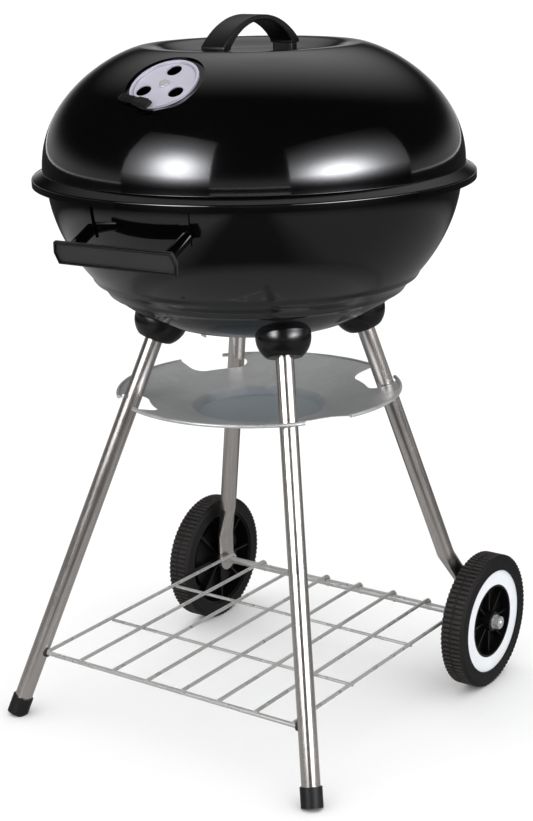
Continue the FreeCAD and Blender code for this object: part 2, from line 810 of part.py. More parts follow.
def leg_bolt(leg):
    """Bolt from inside the bowl, through its wall and the socket, into the plug."""
    seat = leg["contact"] - leg["along"] * (sheet + gap)
    head = cylinder(leg_bolt_head_r, seat - leg["along"] * leg_bolt_head_height, seat).common(BOWL_INNER)
    end = leg_start(leg) + leg["along"] * (plug_length + 4)
    return head.fuse(cylinder(leg_bolt_r, seat - leg["along"] * 0.5, end)).removeSplitter()


def foot_cap(leg):
    """Plastic cap on a front leg, with a small facet worn level with the ground."""
    end = cap_end(leg)
    top = end - leg["along"] * cap_height
    cap = cylinder(tube_r + cap_wall, end, top)
    floor = end - leg["along"] * cap_floor
    cap = cap.cut(cylinder(tube_r, floor, top - leg["along"]))
    reach = 40.0
    ground = box(V(end.x - reach, end.y - reach, -reach), V(end.x + reach, end.y + reach, 0))
    return cap.cut(ground)


# ================================================================ shelf and axle
def shelf_wire_rise():
    """Height of a shelf wire's axis at the rail and over the axle."""
    return rail_z + rail_r + shelf_wire_r - bite, axle_z + axle_r + shelf_wire_r + gap


def rail_y():
    return at_height(FRONT_LEGS[0], rail_z).y


def shelf_wire_height(y):
    front_z, rear_z = shelf_wire_rise()
    return front_z + (rear_z - front_z) * (y - rail_y()) / (axle_y - rail_y())


def shelf_wire(x):
    """A wire that runs back from the rail and hooks over the axle."""
    front_z, rear_z = shelf_wire_rise()
    slope = math.atan2(rear_z - front_z, axle_y - rail_y())
    radius = rear_z - axle_z
    centre = V(x, axle_y, axle_z)

    def on_hook(turn):
        angle = math.pi / 2 + slope - math.radians(turn)
        return centre + V(0, radius * math.cos(angle), radius * math.sin(angle))

    top = on_hook(0)
    run = top.y - (rail_y() - shelf_overhang)
    start = V(x, top.y - run, top.z - run * math.tan(slope))
    path = Part.Wire([Part.makeLine(start, top),
                      Part.Arc(top, on_hook(hook_turn / 2), on_hook(hook_turn)).toShape()])
    section = Part.Wire(Part.makeCircle(shelf_wire_r, start, top - start))
    return path.makePipeShell([section], True, False)


def shelf_half_width():
    return at_height(FRONT_LEGS[0], rail_z).x - tube_r - shelf_side_room


def shelf_xs():
    pitch = 2 * shelf_half_width() / (shelf_wire_count - 1)
    return [-shelf_half_width() + pitch * k for k in range(shelf_wire_count)]


def rail_half_length():
    return at_height(FRONT_LEGS[0], rail_z).x - tube_r + grommet_lip


def shelf():
    half = rail_half_length()
    pieces = [cylinder(rail_r, V(-half, rail_y(), rail_z), V(half, rail_y(), rail_z))]
    pieces += [shelf_wire(x) for x in shelf_xs()]
    for y in shelf_cross_ys:
        z = shelf_wire_height(y) - shelf_wire_r - shelf_cross_r + bite
        pieces.append(cylinder(shelf_cross_r, V(-shelf_half_width(), y, z), V(shelf_half_width(), y, z)))
    return fused(pieces)


def shelf_grommet(leg):
    centre = at_height(leg, rail_z)
    side = math.copysign(1.0, centre.x)
    surface = centre - X * side * (tube_r + 0.6)
    lip = cylinder(grommet_r, surface - X * side * grommet_lip, surface + X * side * tube_r)
    outside = cylinder(tube_r, centre - leg["along"] * 40, centre + leg["along"] * 40)
    lip = lip.cut(outside)
    neck = cylinder(grommet_neck_r, surface, surface + X * side * grommet_depth)
    rail = cylinder(rail_r, surface - X * side * 20, centre)
    return lip.fuse(neck).removeSplitter().cut(rail)


def wheel_inner_x():
    return rear_x + flat_thickness / 2 + spacer_thickness + gap


def nut_inner_x():
    return wheel_inner_x() + wheel_width + gap + washer_thickness


def axle_half_length():
    return nut_inner_x() + nut_height + axle_tail


def axle():
    half = axle_half_length()
    rod = cylinder(axle_r, V(-half, axle_y, axle_z), V(half, axle_y, axle_z))
    return rod.makeChamfer(1.0, [edge for edge in rod.Edges if edge.Curve.TypeId == "Part::GeomCircle"])


def on_axle(side, start, length, outer_r):
    """A ring on the axle, starting at a distance from the middle plane."""
    low = V(side * start, axle_y, axle_z)
    return ring(outer_r, axle_r, low, low + X * side * length)


def axle_nut(side):
    start = V(side * nut_inner_x(), axle_y, axle_z)
    corner_r = nut_across_flats / math.sqrt(3)
    corners = []
    for k in range(7):
        angle = math.radians(60 * k)
        corners.append(start + V(0, corner_r * math.cos(angle), corner_r * math.sin(angle)))
    nut = Part.Face(Part.makePolygon(corners)).extrude(X * side * nut_height)
    flat_r = nut_across_flats / 2
    chamfer = Part.makeCone(flat_r + 2 * nut_height, flat_r, nut_height, start, X * side)
    bore = cylinder(axle_r, start - X * side, start + X * side * (nut_height + 1))
    return nut.common(chamfer).cut(bore)


# ================================================================ wheels
def wheel_revolve(points):
    """Turns (distance out from the wheel's inner face, radius) corners about the axle."""
    inner = wheel_inner_x()
    spots = [V(inner + out, axle_y, axle_z + radius) for out, radius in points]
    face = Part.Face(Part.makePolygon(spots + spots[:1]))
    return face.revolve(V(0, axle_y, axle_z), X, FULL_TURN)


def ring_seat():
    """Distance of the white ring's seat from the wheel's inner face."""
    return wheel_width - 2.0 - ring_thickness


def wheel_hub():
    seat = ring_seat()
    plate = seat - drum_wall
    middle = wheel_width / 2 - web_thickness
    bore_r = axle_r + running_fit
    web = wheel_revolve([(middle, boss_r - 1), (middle, ring_inner_r - 1),
                         (middle + web_thickness, ring_inner_r - 1), (middle + web_thickness, boss_r - 1)])
    boss = wheel_revolve([(0, bore_r), (0, boss_r), (wheel_width, boss_r), (wheel_width, bore_r)])
    dish = wheel_revolve([(middle, ring_inner_r - drum_wall), (middle, ring_inner_r),
                          (seat + ring_thickness, ring_inner_r),
                          (seat + ring_thickness, ring_inner_r - drum_wall)])
    plate_ring = wheel_revolve([(plate, ring_inner_r - 1), (plate, tyre_inner_r),
                                (seat, tyre_inner_r), (seat, ring_inner_r - 1)])
    drum = wheel_revolve([(1.5, tyre_inner_r - drum_wall), (1.5, tyre_inner_r),
                          (seat, tyre_inner_r), (seat, tyre_inner_r - drum_wall)])
    inner = wheel_inner_x()
    half = hub_rib_thickness / 2
    ribs = []
    for k in range(hub_rib_count):
        outer_rib = box(V(inner + middle + 1, axle_y - half, axle_z + boss_r - 1),
                        V(inner + seat - 2, axle_y + half, axle_z + ring_inner_r - 1))
        inner_rib = box(V(inner + 3, axle_y - half, axle_z + boss_r - 1),
                        V(inner + middle + 1, axle_y + half, axle_z + tyre_inner_r - 1))
        for rib in (outer_rib, inner_rib):
            ribs.append(turned(rib, FULL_TURN * k / hub_rib_count, V(0, axle_y, axle_z), X))
    return fused([web, boss, dish, plate_ring, drum] + ribs)


def wheel_tyre():
    tyre = wheel_revolve([(0, tyre_inner_r), (0, wheel_r), (wheel_width, wheel_r),
                          (wheel_width, tyre_inner_r)])
    shoulders = [edge for edge in tyre.Edges if edge.Curve.TypeId == "Part::GeomCircle"
                 and abs(edge.Curve.Radius - wheel_r) < 0.01]
    return tyre.makeFillet(tyre_shoulder, shoulders)


def wheel_ring():
    seat = ring_seat()
    return wheel_revolve([(seat, ring_inner_r), (seat, tyre_inner_r),
                          (seat + ring_thickness, tyre_inner_r), (seat + ring_thickness, ring_inner_r)])


# ================================================================ ash tray
def tray_slot(leg):
    """Bayonet slot: a rounded slot behind the rim, open through the rim past the leg."""
    axis = at_height(leg, tray_rim_z - tray_bead_r - slot_rim_width)
    heading = math.degrees(math.atan2(axis.y, axis.x))
    leg_outer_r = math.hypot(axis.x, axis.y) + tube_r / abs(leg["along"].z)
    outer_r = leg_outer_r + slot_leg_gap
    middle_r = (slot_inner_r + outer_r) / 2
    half = (outer_r - slot_inner_r) / 2
    low_z = tray_floor_z
    high_z = tray_rim_z + 4 * tray_bead_r
    back = heading + slot_back_angle
    front = heading + slot_open_to - math.degrees(half / middle_r)
    ends = [cylinder(half, polar(middle_r, angle, low_z), polar(middle_r, angle, high_z))
            for angle in (back, front)]

    def sector(inner_r, outer, start, end):
        band = ring(outer, inner_r, Z * low_z, Z * high_z)
        far = 2 * tray_rim_r
        corners = [V(0, 0, low_z - 1), polar(far, start, low_z - 1),
                   polar(far, (start + end) / 2, low_z - 1), polar(far, end, low_z - 1)]
        wedge = Part.Face(Part.makePolygon(corners + corners[:1])).extrude(Z * (high_z - low_z + 2))
        return band.common(wedge)

    track = sector(slot_inner_r, outer_r, back, front)
    mouth = sector(middle_r, tray_rim_r + 10, heading + slot_open_from, heading + slot_open_to)
    return fused(ends + [track, mouth])


def ash_tray():
    rim_r = tray_rim_r - tray_bead_r
    points = [(0.0, tray_floor_z), (tray_floor_r, tray_floor_z),
              (tray_well_r, tray_well_z), (rim_r, tray_rim_z)]
    inner = offset_points(points, -tray_sheet)
    plate = outline(points + [(r, z) for r, z in reversed(inner)])
    plate = plate.revolve(V(0, 0, 0), Z, FULL_TURN)
    bead = Part.makeTorus(rim_r, tray_bead_r, V(0, 0, tray_rim_z + tray_sheet / 2), Z)
    tray = plate.fuse(bead).removeSplitter()
    return tray.cut([tray_slot(leg) for leg in LEGS])


# ================================================================ side handle
def grip_frame():
    """Centre of the grip's front face, and its outward and upward directions, at -Y."""
    lean = math.radians(grip_lean)
    out = V(0, -math.cos(lean), -math.sin(lean))
    up = V(0, -math.sin(lean), math.cos(lean))
    top = V(0, -grip_reach, grip_top_z)
    return top - up * (grip_height / 2), out, up


def on_handle(shape):
    """Turns a piece made at -Y to the handle's place round the bowl."""
    return turned(shape, handle_azimuth + 90)


def grip_slab(half_length, height, depth, start):
    """A six-sided bar across X behind the front face, widest halfway down."""
    centre, out, up = grip_frame()
    face_centre = centre - out * start
    rise = up * (height / 2)
    corner = X * (half_length - grip_corner_inset)
    corners = [face_centre + corner + rise, face_centre + X * half_length, face_centre + corner - rise,
               face_centre - corner - rise, face_centre - X * half_length, face_centre - corner + rise]
    return Part.Face(Part.makePolygon(corners + corners[:1])).extrude(out * -depth)


def side_handle_grip():
    slab = grip_slab(grip_half_length, grip_height, grip_thickness, 0)
    pan = grip_slab(grip_half_length - grip_border, grip_height - 2 * grip_border, grip_pan_depth + 1, -1)
    return on_handle(slab.makeFillet(grip_round, slab.Edges).cut(pan))


def arm_line(side):
    """Where an arm leaves the grip, where it meets the strap, and its direction."""
    centre, out, up = grip_frame()
    start = centre - out * grip_thickness + X * side * arm_x
    wall_z = start.z + arm_rise
    wall_r = bowl_radius(wall_z) + strap_thickness
    end = V(side * arm_x, -math.sqrt(wall_r ** 2 - arm_x ** 2), wall_z)
    return start, end, (end - start).normalize()


def strap_core():
    """The bowl's outer shape grown by the thickness of a strap."""
    return bowl_core(-strap_thickness)


def side_handle_arm(side):
    """Round arm between the grip and the strap, cut to fit both."""
    start, end, along = arm_line(side)
    arm = cylinder(arm_r, start - along * arm_r, end + along * 2 * arm_r)
    front = grip_slab(2 * grip_half_length, 3 * grip_height, grip_thickness + 4 * arm_r, -4 * arm_r)
    return on_handle(arm.cut(front).cut(strap_core()).cut(arm_bore(side)))


def side_handle_strap(side):
    """Strap welded to the bowl's wall behind an arm."""
    start, end, along = arm_line(side)
    half = strap_width / 2
    block = box(V(bowl_floor_r, -half, end.z - arm_r - strap_thickness), V(flange_r, half, strap_top_z))
    block = turned(block, math.degrees(math.atan2(end.y, end.x)))
    return on_handle(block.common(strap_core()).cut(BOWL_OUTER).cut(arm_bore(side)))


def arm_bore(side):
    start, end, along = arm_line(side)
    return cylinder(arm_bolt_r, end - along * arm_bolt_grip, end + along * arm_bolt_grip)


def side_handle_bolt(side):
    """Bolt from inside the bowl into the arm."""
    start, end, along = arm_line(side)
    seat = end + along * (strap_thickness + 2.4 * sheet)
    head = cylinder(arm_bolt_head_r, seat, seat + along * arm_bolt_head_height).common(BOWL_INNER)
    stem = cylinder(arm_bolt_r, end - along * (arm_bolt_grip - 1), seat + along)
    return on_handle(head.fuse(stem).removeSplitter())


# ================================================================ build
def both(maker):
    return [maker(side) for side in (-1, 1)]


def main():
    os.makedirs("parts", exist_ok=True)
    save("lid_shell", lid_shell())
    save("lid_handle", lid_handle())
    save("lid_handle_spacers", *lid_handle_spacers())
    save("lid_handle_screws", *lid_handle_screws())
    save("lid_damper_disc", lid_damper_disc())
    save("lid_damper_tab", lid_damper_tab())
    save("lid_damper_rivet", lid_damper_rivet())
    save("bowl_shell", bowl_shell())
    save("bowl_damper_disc", bowl_damper_disc())
    save("bowl_damper_rivet", bowl_damper_rivet())
    save("cooking_grate", grate(cooking_grate_z, cooking_grate_pitch))
    save("charcoal_grate", grate(charcoal_grate_z, charcoal_grate_pitch))
    save("grate_brackets", *grate_brackets())
    for leg in FRONT_LEGS:
        save("leg_" + leg["name"], front_leg(leg))
        save("foot_cap_" + leg["name"], foot_cap(leg))
    for leg in REAR_LEGS:
        save("leg_" + leg["name"], rear_leg(leg))
    for leg in LEGS:
        save("leg_socket_" + leg["name"], leg_socket(leg))
    save("leg_plugs", *[leg_plug(leg) for leg in LEGS])
    save("leg_bolts", *[leg_bolt(leg) for leg in LEGS])
    save("shelf", shelf())
    save("shelf_grommets", *[shelf_grommet(leg) for leg in FRONT_LEGS])
    save("axle", axle())
    save("axle_spacers", *both(lambda side: on_axle(side, rear_x + flat_thickness / 2,
                                                    spacer_thickness, washer_r)))
    save("axle_washers", *both(lambda side: on_axle(side, nut_inner_x() - washer_thickness,
                                                    washer_thickness, washer_r)))
    save("axle_nuts", *both(axle_nut))
    for name, maker in (("hub", wheel_hub), ("tyre", wheel_tyre), ("ring", wheel_ring)):
        piece = maker()
        save("wheel_%s_right" % name, piece)
        save("wheel_%s_left" % name, mirrored(piece))
    save("ash_tray", ash_tray())
    save("side_handle_grip", side_handle_grip())
    save("side_handle_arms", *both(side_handle_arm))
    save("side_handle_straps", *both(side_handle_strap))
    save("side_handle_bolts", *both(side_handle_bolt))


main()
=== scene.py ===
"""Finished looks of a kettle charcoal grill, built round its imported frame."""

import json
import math

import bpy
from mathutils import Matrix, Vector


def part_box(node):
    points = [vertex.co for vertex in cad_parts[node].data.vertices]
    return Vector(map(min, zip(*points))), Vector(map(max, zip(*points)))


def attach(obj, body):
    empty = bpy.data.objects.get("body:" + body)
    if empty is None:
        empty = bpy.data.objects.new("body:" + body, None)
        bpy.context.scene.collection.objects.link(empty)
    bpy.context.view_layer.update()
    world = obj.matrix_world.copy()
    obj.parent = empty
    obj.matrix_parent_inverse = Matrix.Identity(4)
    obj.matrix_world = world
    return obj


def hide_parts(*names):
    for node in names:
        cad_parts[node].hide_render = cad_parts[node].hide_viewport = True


bl_info = {
    "name": "Kettle Grill Finisher",
    "version": (1, 0, 0),
    "blender": (4, 5, 0),
    "location": "View3D > Sidebar > Grill",
    "description": "Builds the enamelled shells, handle, tyres and finishes of a kettle grill",
    "category": "Object",
}

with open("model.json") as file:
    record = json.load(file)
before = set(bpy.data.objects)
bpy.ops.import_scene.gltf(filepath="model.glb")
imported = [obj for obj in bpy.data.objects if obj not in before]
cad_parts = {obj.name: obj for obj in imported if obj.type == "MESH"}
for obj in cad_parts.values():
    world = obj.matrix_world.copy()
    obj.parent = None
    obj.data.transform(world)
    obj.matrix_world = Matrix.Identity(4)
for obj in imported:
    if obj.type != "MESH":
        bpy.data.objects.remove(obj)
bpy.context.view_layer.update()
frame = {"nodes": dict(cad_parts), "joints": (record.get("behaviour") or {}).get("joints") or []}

MM = 0.001
FULL = 2 * math.pi
TINY = 0.02 * MM
FINISH_PREFIX = "grill_"
UP = Vector((0, 0, 1))


def node_box(node):
    low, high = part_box(node)
    return Vector(low), Vector(high)


def node_centre(node):
    low, high = node_box(node)
    return (low + high) / 2


# ---------------------------------------------------------------- sizes and colours
def size(name, value, note):
    return bpy.props.FloatProperty(name=name, default=value, min=0, description=note,
                                   unit="LENGTH", subtype="DISTANCE", precision=5)


def colour(name, value, note):
    return bpy.props.FloatVectorProperty(name=name, default=value, size=3, min=0, max=1,
                                         description=note, subtype="COLOR")


def count(name, value, note):
    return bpy.props.IntProperty(name=name, default=value, min=3, description=note)


class KettleSizes(bpy.types.PropertyGroup):
    """Sizes of the lid, the bowl and the lid handle."""
    sheet: size("Sheet", 1.2 * MM, "Thickness of the enamelled steel")
    flange_r: size("Flange radius", 230 * MM, "Outer radius of the flange over the bowl's rim")
    flange_z: size("Flange height", 588.4 * MM, "Height of the flange's outer edge")
    foot_r: size("Dome foot radius", 218.8 * MM, "Where the dome meets the flange")
    foot_z: size("Dome foot height", 594.8 * MM, "Height of the dome's foot")
    crown_r: size("Crown radius", 112.9 * MM, "Where the dome runs level")
    crest_z: size("Crest height", 717.5 * MM, "Height of the level crest")
    recess_r: size("Recess radius", 70 * MM, "Flat floor under the lid handle")
    recess_depth: size("Recess depth", 10.5 * MM, "Drop from the crest to the recess floor")
    seat_r: size("Seat radius", 42 * MM, "Pressed seat of the lid damper")
    bowl_r: size("Bowl radius", 214.7 * MM, "Top of the bowl's wall")
    bowl_top_z: size("Bowl top", 584.8 * MM, "Height of the bowl's wall")
    floor_r: size("Bowl floor radius", 63.3 * MM, "Flat floor of the bowl")
    floor_z: size("Bowl floor height", 426.5 * MM, "Underside of the bowl")
    turn_steps: count("Steps round", 192, "Divisions of a turned shell")


class WheelSizes(bpy.types.PropertyGroup):
    """Sizes of the tyres."""
    tyre_r: size("Tyre radius", 75.5 * MM, "Outside of the tread bars")
    rim_r: size("Rim radius", 58.2 * MM, "Inside of the tyre")
    width: size("Width", 27 * MM, "Width of the tyre")
    tread_depth: size("Tread depth", 1.5 * MM, "Height of a tread bar")
    bar_count: count("Tread bars", 84, "Tread bars round one row")


class Colours(bpy.types.PropertyGroup):
    """Colours of the finishes."""
    enamel: colour("Enamel", (0.0016, 0.0016, 0.0019), "Gloss black of lid and bowl")
    plastic: colour("Plastic", (0.0032, 0.0032, 0.0035), "Black moulded pieces")
    satin: colour("Satin black", (0.017, 0.017, 0.018), "Lid handle and carrying handle")
    rubber: colour("Tyre", (0.0095, 0.0080, 0.0072), "Tyre tread and walls")
    white: colour("White trim", (0.80, 0.82, 0.85), "Ring on each wheel")
    steel: colour("Leg steel", (0.68, 0.635, 0.60), "Polished tube legs")
    zinc: colour("Zinc wire", (0.56, 0.56, 0.545), "Shelf and axle")
    galvanised: colour("Galvanised sheet", (0.46, 0.465, 0.465), "Ash tray")
    aluminium: colour("Aluminium", (0.70, 0.68, 0.78), "Damper discs")


class StageSettings(bpy.types.PropertyGroup):
    """Floor and camera."""
    lens: bpy.props.FloatProperty(name="Lens", default=78.5, min=1, unit="CAMERA",
                                  description="Focal length in millimetres")
    distance: size("Distance", 1929.9 * MM, "From the camera to its aim")
    azimuth: bpy.props.FloatProperty(name="Azimuth", default=math.radians(36.06), unit="ROTATION",
                                     subtype="ANGLE", description="Camera turn round the grill")
    elevation: bpy.props.FloatProperty(name="Elevation", default=math.radians(15.74), unit="ROTATION",
                                       subtype="ANGLE", description="Camera height angle")
    roll: bpy.props.FloatProperty(name="Roll", default=math.radians(-1.28), unit="ROTATION",
                                  subtype="ANGLE", description="Camera roll")
    aim_z: size("Aim height", 328.5 * MM, "Height of the point aimed at")
    aim_side: size("Aim to the side", 7.2 * MM, "The aim's shift to the right")
    floor_size: size("Floor size", 40, "Side of the square floor")


# ---------------------------------------------------------------- modelling by hand
def clear_selection():
    for thing in list(bpy.context.selected_objects):
        thing.select_set(False)


def pick(*things):
    """Selects the things; the first is the active one."""
    clear_selection()
    for thing in things:
        thing.select_set(True)
    bpy.context.view_layer.objects.active = things[0]


def edit(piece):
    pick(piece)
    bpy.ops.object.mode_set(mode="EDIT")
    bpy.ops.mesh.select_all(action="SELECT")


def leave_edit():
    bpy.ops.object.mode_set(mode="OBJECT")


def settle(piece):
    """Puts the object at the origin, unturned, with its place in its mesh."""
    pick(piece)
    bpy.ops.object.transform_apply(location=True, rotation=True, scale=True)


def chain(name, points):
    """A line of edges through the points, drawn by extruding one corner along them."""
    clear_selection()
    bpy.ops.mesh.primitive_plane_add(size=1 * MM, location=points[0])
    piece = bpy.context.object
    piece.name = name
    settle(piece)
    edit(piece)
    bpy.ops.mesh.merge(type="CENTER")
    for before, after in zip(points, points[1:]):
        bpy.ops.mesh.extrude_region_move(TRANSFORM_OT_translate={"value": after - before})
    leave_edit()
    return piece


def close_up(piece):
    """Merges what meets and turns every face outwards."""
    edit(piece)
    bpy.ops.mesh.remove_doubles(threshold=TINY)
    bpy.ops.mesh.normals_make_consistent(inside=False)
    leave_edit()
    return piece


def turn(name, points, centre, axis, steps):
    """A chain of edges spun once round an axis."""
    piece = chain(name, points)
    edit(piece)
    bpy.ops.mesh.spin(steps=steps, angle=FULL, center=centre, axis=axis)
    leave_edit()
    return close_up(piece)


def plate(name, outline, depth):
    """A flat outline filled and drawn out along a vector."""
    piece = chain(name, outline)
    edit(piece)
    bpy.ops.mesh.edge_face_add()
    bpy.ops.mesh.extrude_region_move(TRANSFORM_OT_translate={"value": depth})
    leave_edit()
    return close_up(piece)


def rod(name, radius, start, end, vertices=48):
    """A round bar between two points."""
    clear_selection()
    line = end - start
    bpy.ops.mesh.primitive_cylinder_add(vertices=vertices, radius=radius, depth=line.length,
                                        location=(start + end) / 2,
                                        rotation=line.to_track_quat("Z", "Y").to_euler())
    piece = bpy.context.object
    piece.name = name
    settle(piece)
    return piece


def apply_modifier(piece, kind, **settings):
    pick(piece)
    modifier = piece.modifiers.new(kind.lower(), kind)
    for key, value in settings.items():
        setattr(modifier, key, value)
    bpy.ops.object.modifier_apply(modifier=modifier.name)
    return piece


def combine(piece, tool, operation):
    """A boolean with another piece, which is used up."""
    apply_modifier(piece, "BOOLEAN", operation=operation, object=tool, solver="EXACT")
    bpy.data.objects.remove(tool, do_unlink=True)
    return piece


def soften_edges(piece, width, segments=3, degrees=35):
    return apply_modifier(piece, "BEVEL", width=width, segments=segments, limit_method="ANGLE",
                          angle_limit=math.radians(degrees), miter_outer="MITER_ARC")


def smooth(piece, degrees=35):
    pick(piece)
    bpy.ops.object.shade_smooth_by_angle(angle=math.radians(degrees))
    return piece


def duplicate(piece, name):
    """A copy with its own mesh."""
    twin = piece.copy()
    twin.data = piece.data.copy()
    twin.name = name
    bpy.context.collection.objects.link(twin)
    return twin


def join(*pieces):
    pick(*pieces)
    bpy.ops.object.join()
    return pieces[0]


def hand_over(piece, node, material, body):
    """Gives a finished piece its material and its body, and hides the frame's node that it stands for."""
    piece.data.materials.clear()
    piece.data.materials.append(material)
    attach(piece, body)
    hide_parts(node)


def coat(material, *nodes):
    """Puts a material on pieces of the frame."""
    for name in nodes:
        for place in frame["nodes"][name].material_slots:
            place.material = material


def finish_named(name):
    return bpy.data.materials[FINISH_PREFIX + name]


def ring_point(r, z):
    return Vector((r, 0, z))


def rounded(points, radii, steps=4):
    """A chain of (a, b) points with arcs of the given radii at the numbered corners."""
    out = []
    for k, point in enumerate(points):
        if k not in radii:
            out.append(point)
            continue
        corner = Vector(point)
        before, after = Vector(points[k - 1]), Vector(points[(k + 1) % len(points)])
        back, ahead = (before - corner).normalized(), (after - corner).normalized()
        half = back.angle(ahead) / 2
        reach = radii[k] / math.tan(half)
        centre = corner + (back + ahead).normalized() * (radii[k] / math.sin(half))
        first, last = corner + back * reach - centre, corner + ahead * reach - centre
        sweep = first.angle(last)
        for step in range(steps + 1):
            passed = step / steps * sweep
            spot = first * math.sin(sweep - passed) + last * math.sin(passed)
            out.append(tuple(centre + spot / math.sin(sweep)))
    return out


# ---------------------------------------------------------------- shader writing
class Flow:
    """A number in a shader, on which Python's operators work."""

    def __init__(self, tree, socket):
        self.tree = tree
        self.socket = socket

    def maths(self, operation, first, second=0.0):
        node = self.tree.nodes.new("ShaderNodeMath")
        node.operation = operation
        for place, value in zip(node.inputs, (first, second)):
            if isinstance(value, Flow):
                self.tree.links.new(value.socket, place)
            else:
                place.default_value = value
        return Flow(self.tree, node.outputs[0])

    def __add__(self, other):
        return self.maths("ADD", self, other)

    def __radd__(self, other):
        return self.maths("ADD", other, self)

    def __sub__(self, other):
        return self.maths("SUBTRACT", self, other)

    def __rsub__(self, other):
        return self.maths("SUBTRACT", other, self)

    def __mul__(self, other):
        return self.maths("MULTIPLY", self, other)

    def __rmul__(self, other):
        return self.maths("MULTIPLY", other, self)

    def fall(self, middle, reach):
        """A bell shaped falling off on both sides of the middle."""
        off = (self - middle) * (1 / reach)
        return self.maths("POWER", math.e, off * off * -1.0)


class Nodes:
    """Writes the nodes of one shader tree."""

    def __init__(self, tree):
        self.tree = tree

    def node(self, kind, settings=None, values=None, out=0):
        """Any shader node: its settings first, then what its sockets hold or are fed."""
        node = self.tree.nodes.new("ShaderNode" + kind)
        for key, value in (settings or {}).items():
            if key == "stops":
                for k, (place, tone) in enumerate(value):
                    stop = node.color_ramp.elements[k] if k < 2 else node.color_ramp.elements.new(place)
                    stop.position = place
                    stop.color = tuple(tone) + (1.0,)
            else:
                setattr(node, key, value)
        for key, value in (values or {}).items():
            if isinstance(value, Flow):
                self.tree.links.new(value.socket, node.inputs[key])
            else:
                node.inputs[key].default_value = value
        return Flow(self.tree, node.outputs[out])

    def place(self, stretch=(1, 1, 1), turn_by=(0, 0, 0), origin=(0, 0, 0)):
        """Object coordinates about an origin, turned and then stretched."""
        spot = self.node("TexCoord", out="Object")
        spot = self.node("VectorMath", {"operation": "SUBTRACT"}, {0: spot, 1: origin})
        spot = self.node("VectorRotate", {"rotation_type": "EULER_XYZ"},
                         {"Vector": spot, "Rotation": turn_by})
        return self.node("VectorMath", {"operation": "MULTIPLY"}, {0: spot, 1: stretch})

    def along(self, spot, direction):
        """How far a place lies along a direction."""
        return self.node("VectorMath", {"operation": "DOT_PRODUCT"}, {0: spot, 1: direction}, out="Value")

    def distance(self, spot):
        """How far a place lies from the origin."""
        return self.node("VectorMath", {"operation": "LENGTH"}, {0: spot}, out="Value")

    def noise(self, scale, detail=2.0, rough=0.5, where=None):
        where = where or self.place()
        return self.node("TexNoise", None, {"Vector": where, "Scale": scale, "Detail": detail,
                                            "Roughness": rough})

    def ramp(self, value, low, high):
        """The value's stretch between low and high, spread to 0 to 1."""
        return self.node("MapRange", {"clamp": True}, {"Value": value, "From Min": low, "From Max": high})

    def blend(self, factor, first, second):
        """A colour between two."""
        return self.node("Mix", {"data_type": "RGBA"},
                         {0: factor, 6: self.tone(first), 7: self.tone(second)}, out=2)

    def tone(self, value):
        return value if isinstance(value, Flow) else tuple(value)[:3] + (1.0,)


class Finish(Nodes):
    """A material and the nodes that feed its main shader."""

    def __init__(self, name, colour, roughness, metallic=0.0, coat_weight=0.0, coat_roughness=0.05,
                 specular=0.5):
        self.material = bpy.data.materials.new(FINISH_PREFIX + name)
        self.material.use_nodes = True
        super().__init__(self.material.node_tree)
        self.shader = next(n for n in self.tree.nodes if n.type == "BSDF_PRINCIPLED")
        self.colour = tuple(colour)
        self.set("Base Color", self.colour + (1.0,))
        self.set("Roughness", roughness)
        self.set("Metallic", metallic)
        self.set("Specular IOR Level", specular)
        self.set("Coat Weight", coat_weight)
        self.set("Coat Roughness", coat_roughness)
        self.material.diffuse_color = self.colour + (1.0,)

    def set(self, name, value):
        place = self.shader.inputs[name]
        if isinstance(value, Flow):
            self.tree.links.new(value.socket, place)
        else:
            place.default_value = value

    def shade(self, amount):
        """The finish's own colour, made lighter or darker."""
        return tuple(min(1.0, c * amount) for c in self.colour)

    def bump(self, height, strength, distance):
        relief = self.node("Bump", None, {"Strength": strength, "Distance": distance, "Height": height})
        self.set("Normal", relief)


def enamel(name, colour):
    """Fired gloss enamel: a soft ripple, a haze that comes and goes and a few fine specks."""
    f = Finish(name, colour, 0.08, specular=0.55, coat_weight=0.35, coat_roughness=0.03)
    haze = f.noise(7, 4, 0.6)
    specks = f.ramp(f.noise(1500, 1), 0.74, 0.80)
    f.set("Base Color", f.blend(specks * 0.5, f.blend(haze, f.shade(0.7), f.shade(1.5)), f.shade(9)))
    f.set("Roughness", 0.055 + 0.06 * haze + 0.1 * specks)
    f.bump(f.noise(130, 2) + 0.25 * f.noise(420, 1), 0.035, 0.8 * MM)
    return f.material


def moulded(name, colour, roughness, grain, depth, specular=0.5):
    """Moulded plastic: fine grain, slightly uneven sheen."""
    f = Finish(name, colour, roughness, specular=specular)
    cloud = f.noise(22, 3, 0.6)
    fine = f.noise(grain, 2, 0.6)
    f.set("Base Color", f.blend(cloud, f.shade(0.8), f.shade(1.3)))
    f.set("Roughness", roughness - 0.05 + 0.1 * cloud + 0.05 * fine)
    f.bump(fine, depth, 0.25 * MM)
    return f.material


def framed_panel(name, colour, dark, facing, depth):
    """Satin recessed panel inside a glossier black border, told apart by how far forward they stand."""
    f = Finish(name, colour, 0.4, specular=0.4)
    forward = f.along(f.place(), facing)
    border = f.ramp(forward, depth + 0.15 * MM, depth + 0.45 * MM)
    cloud = f.noise(24, 3, 0.6)
    grain = f.noise(1200, 2, 0.6)
    satin = f.blend(cloud, f.shade(0.85), f.shade(1.25))
    f.set("Base Color", f.blend(border, satin, dark))
    f.set("Roughness", 0.40 + 0.06 * cloud - 0.22 * border)
    f.bump(grain, 0.2, 0.2 * MM)
    return f.material


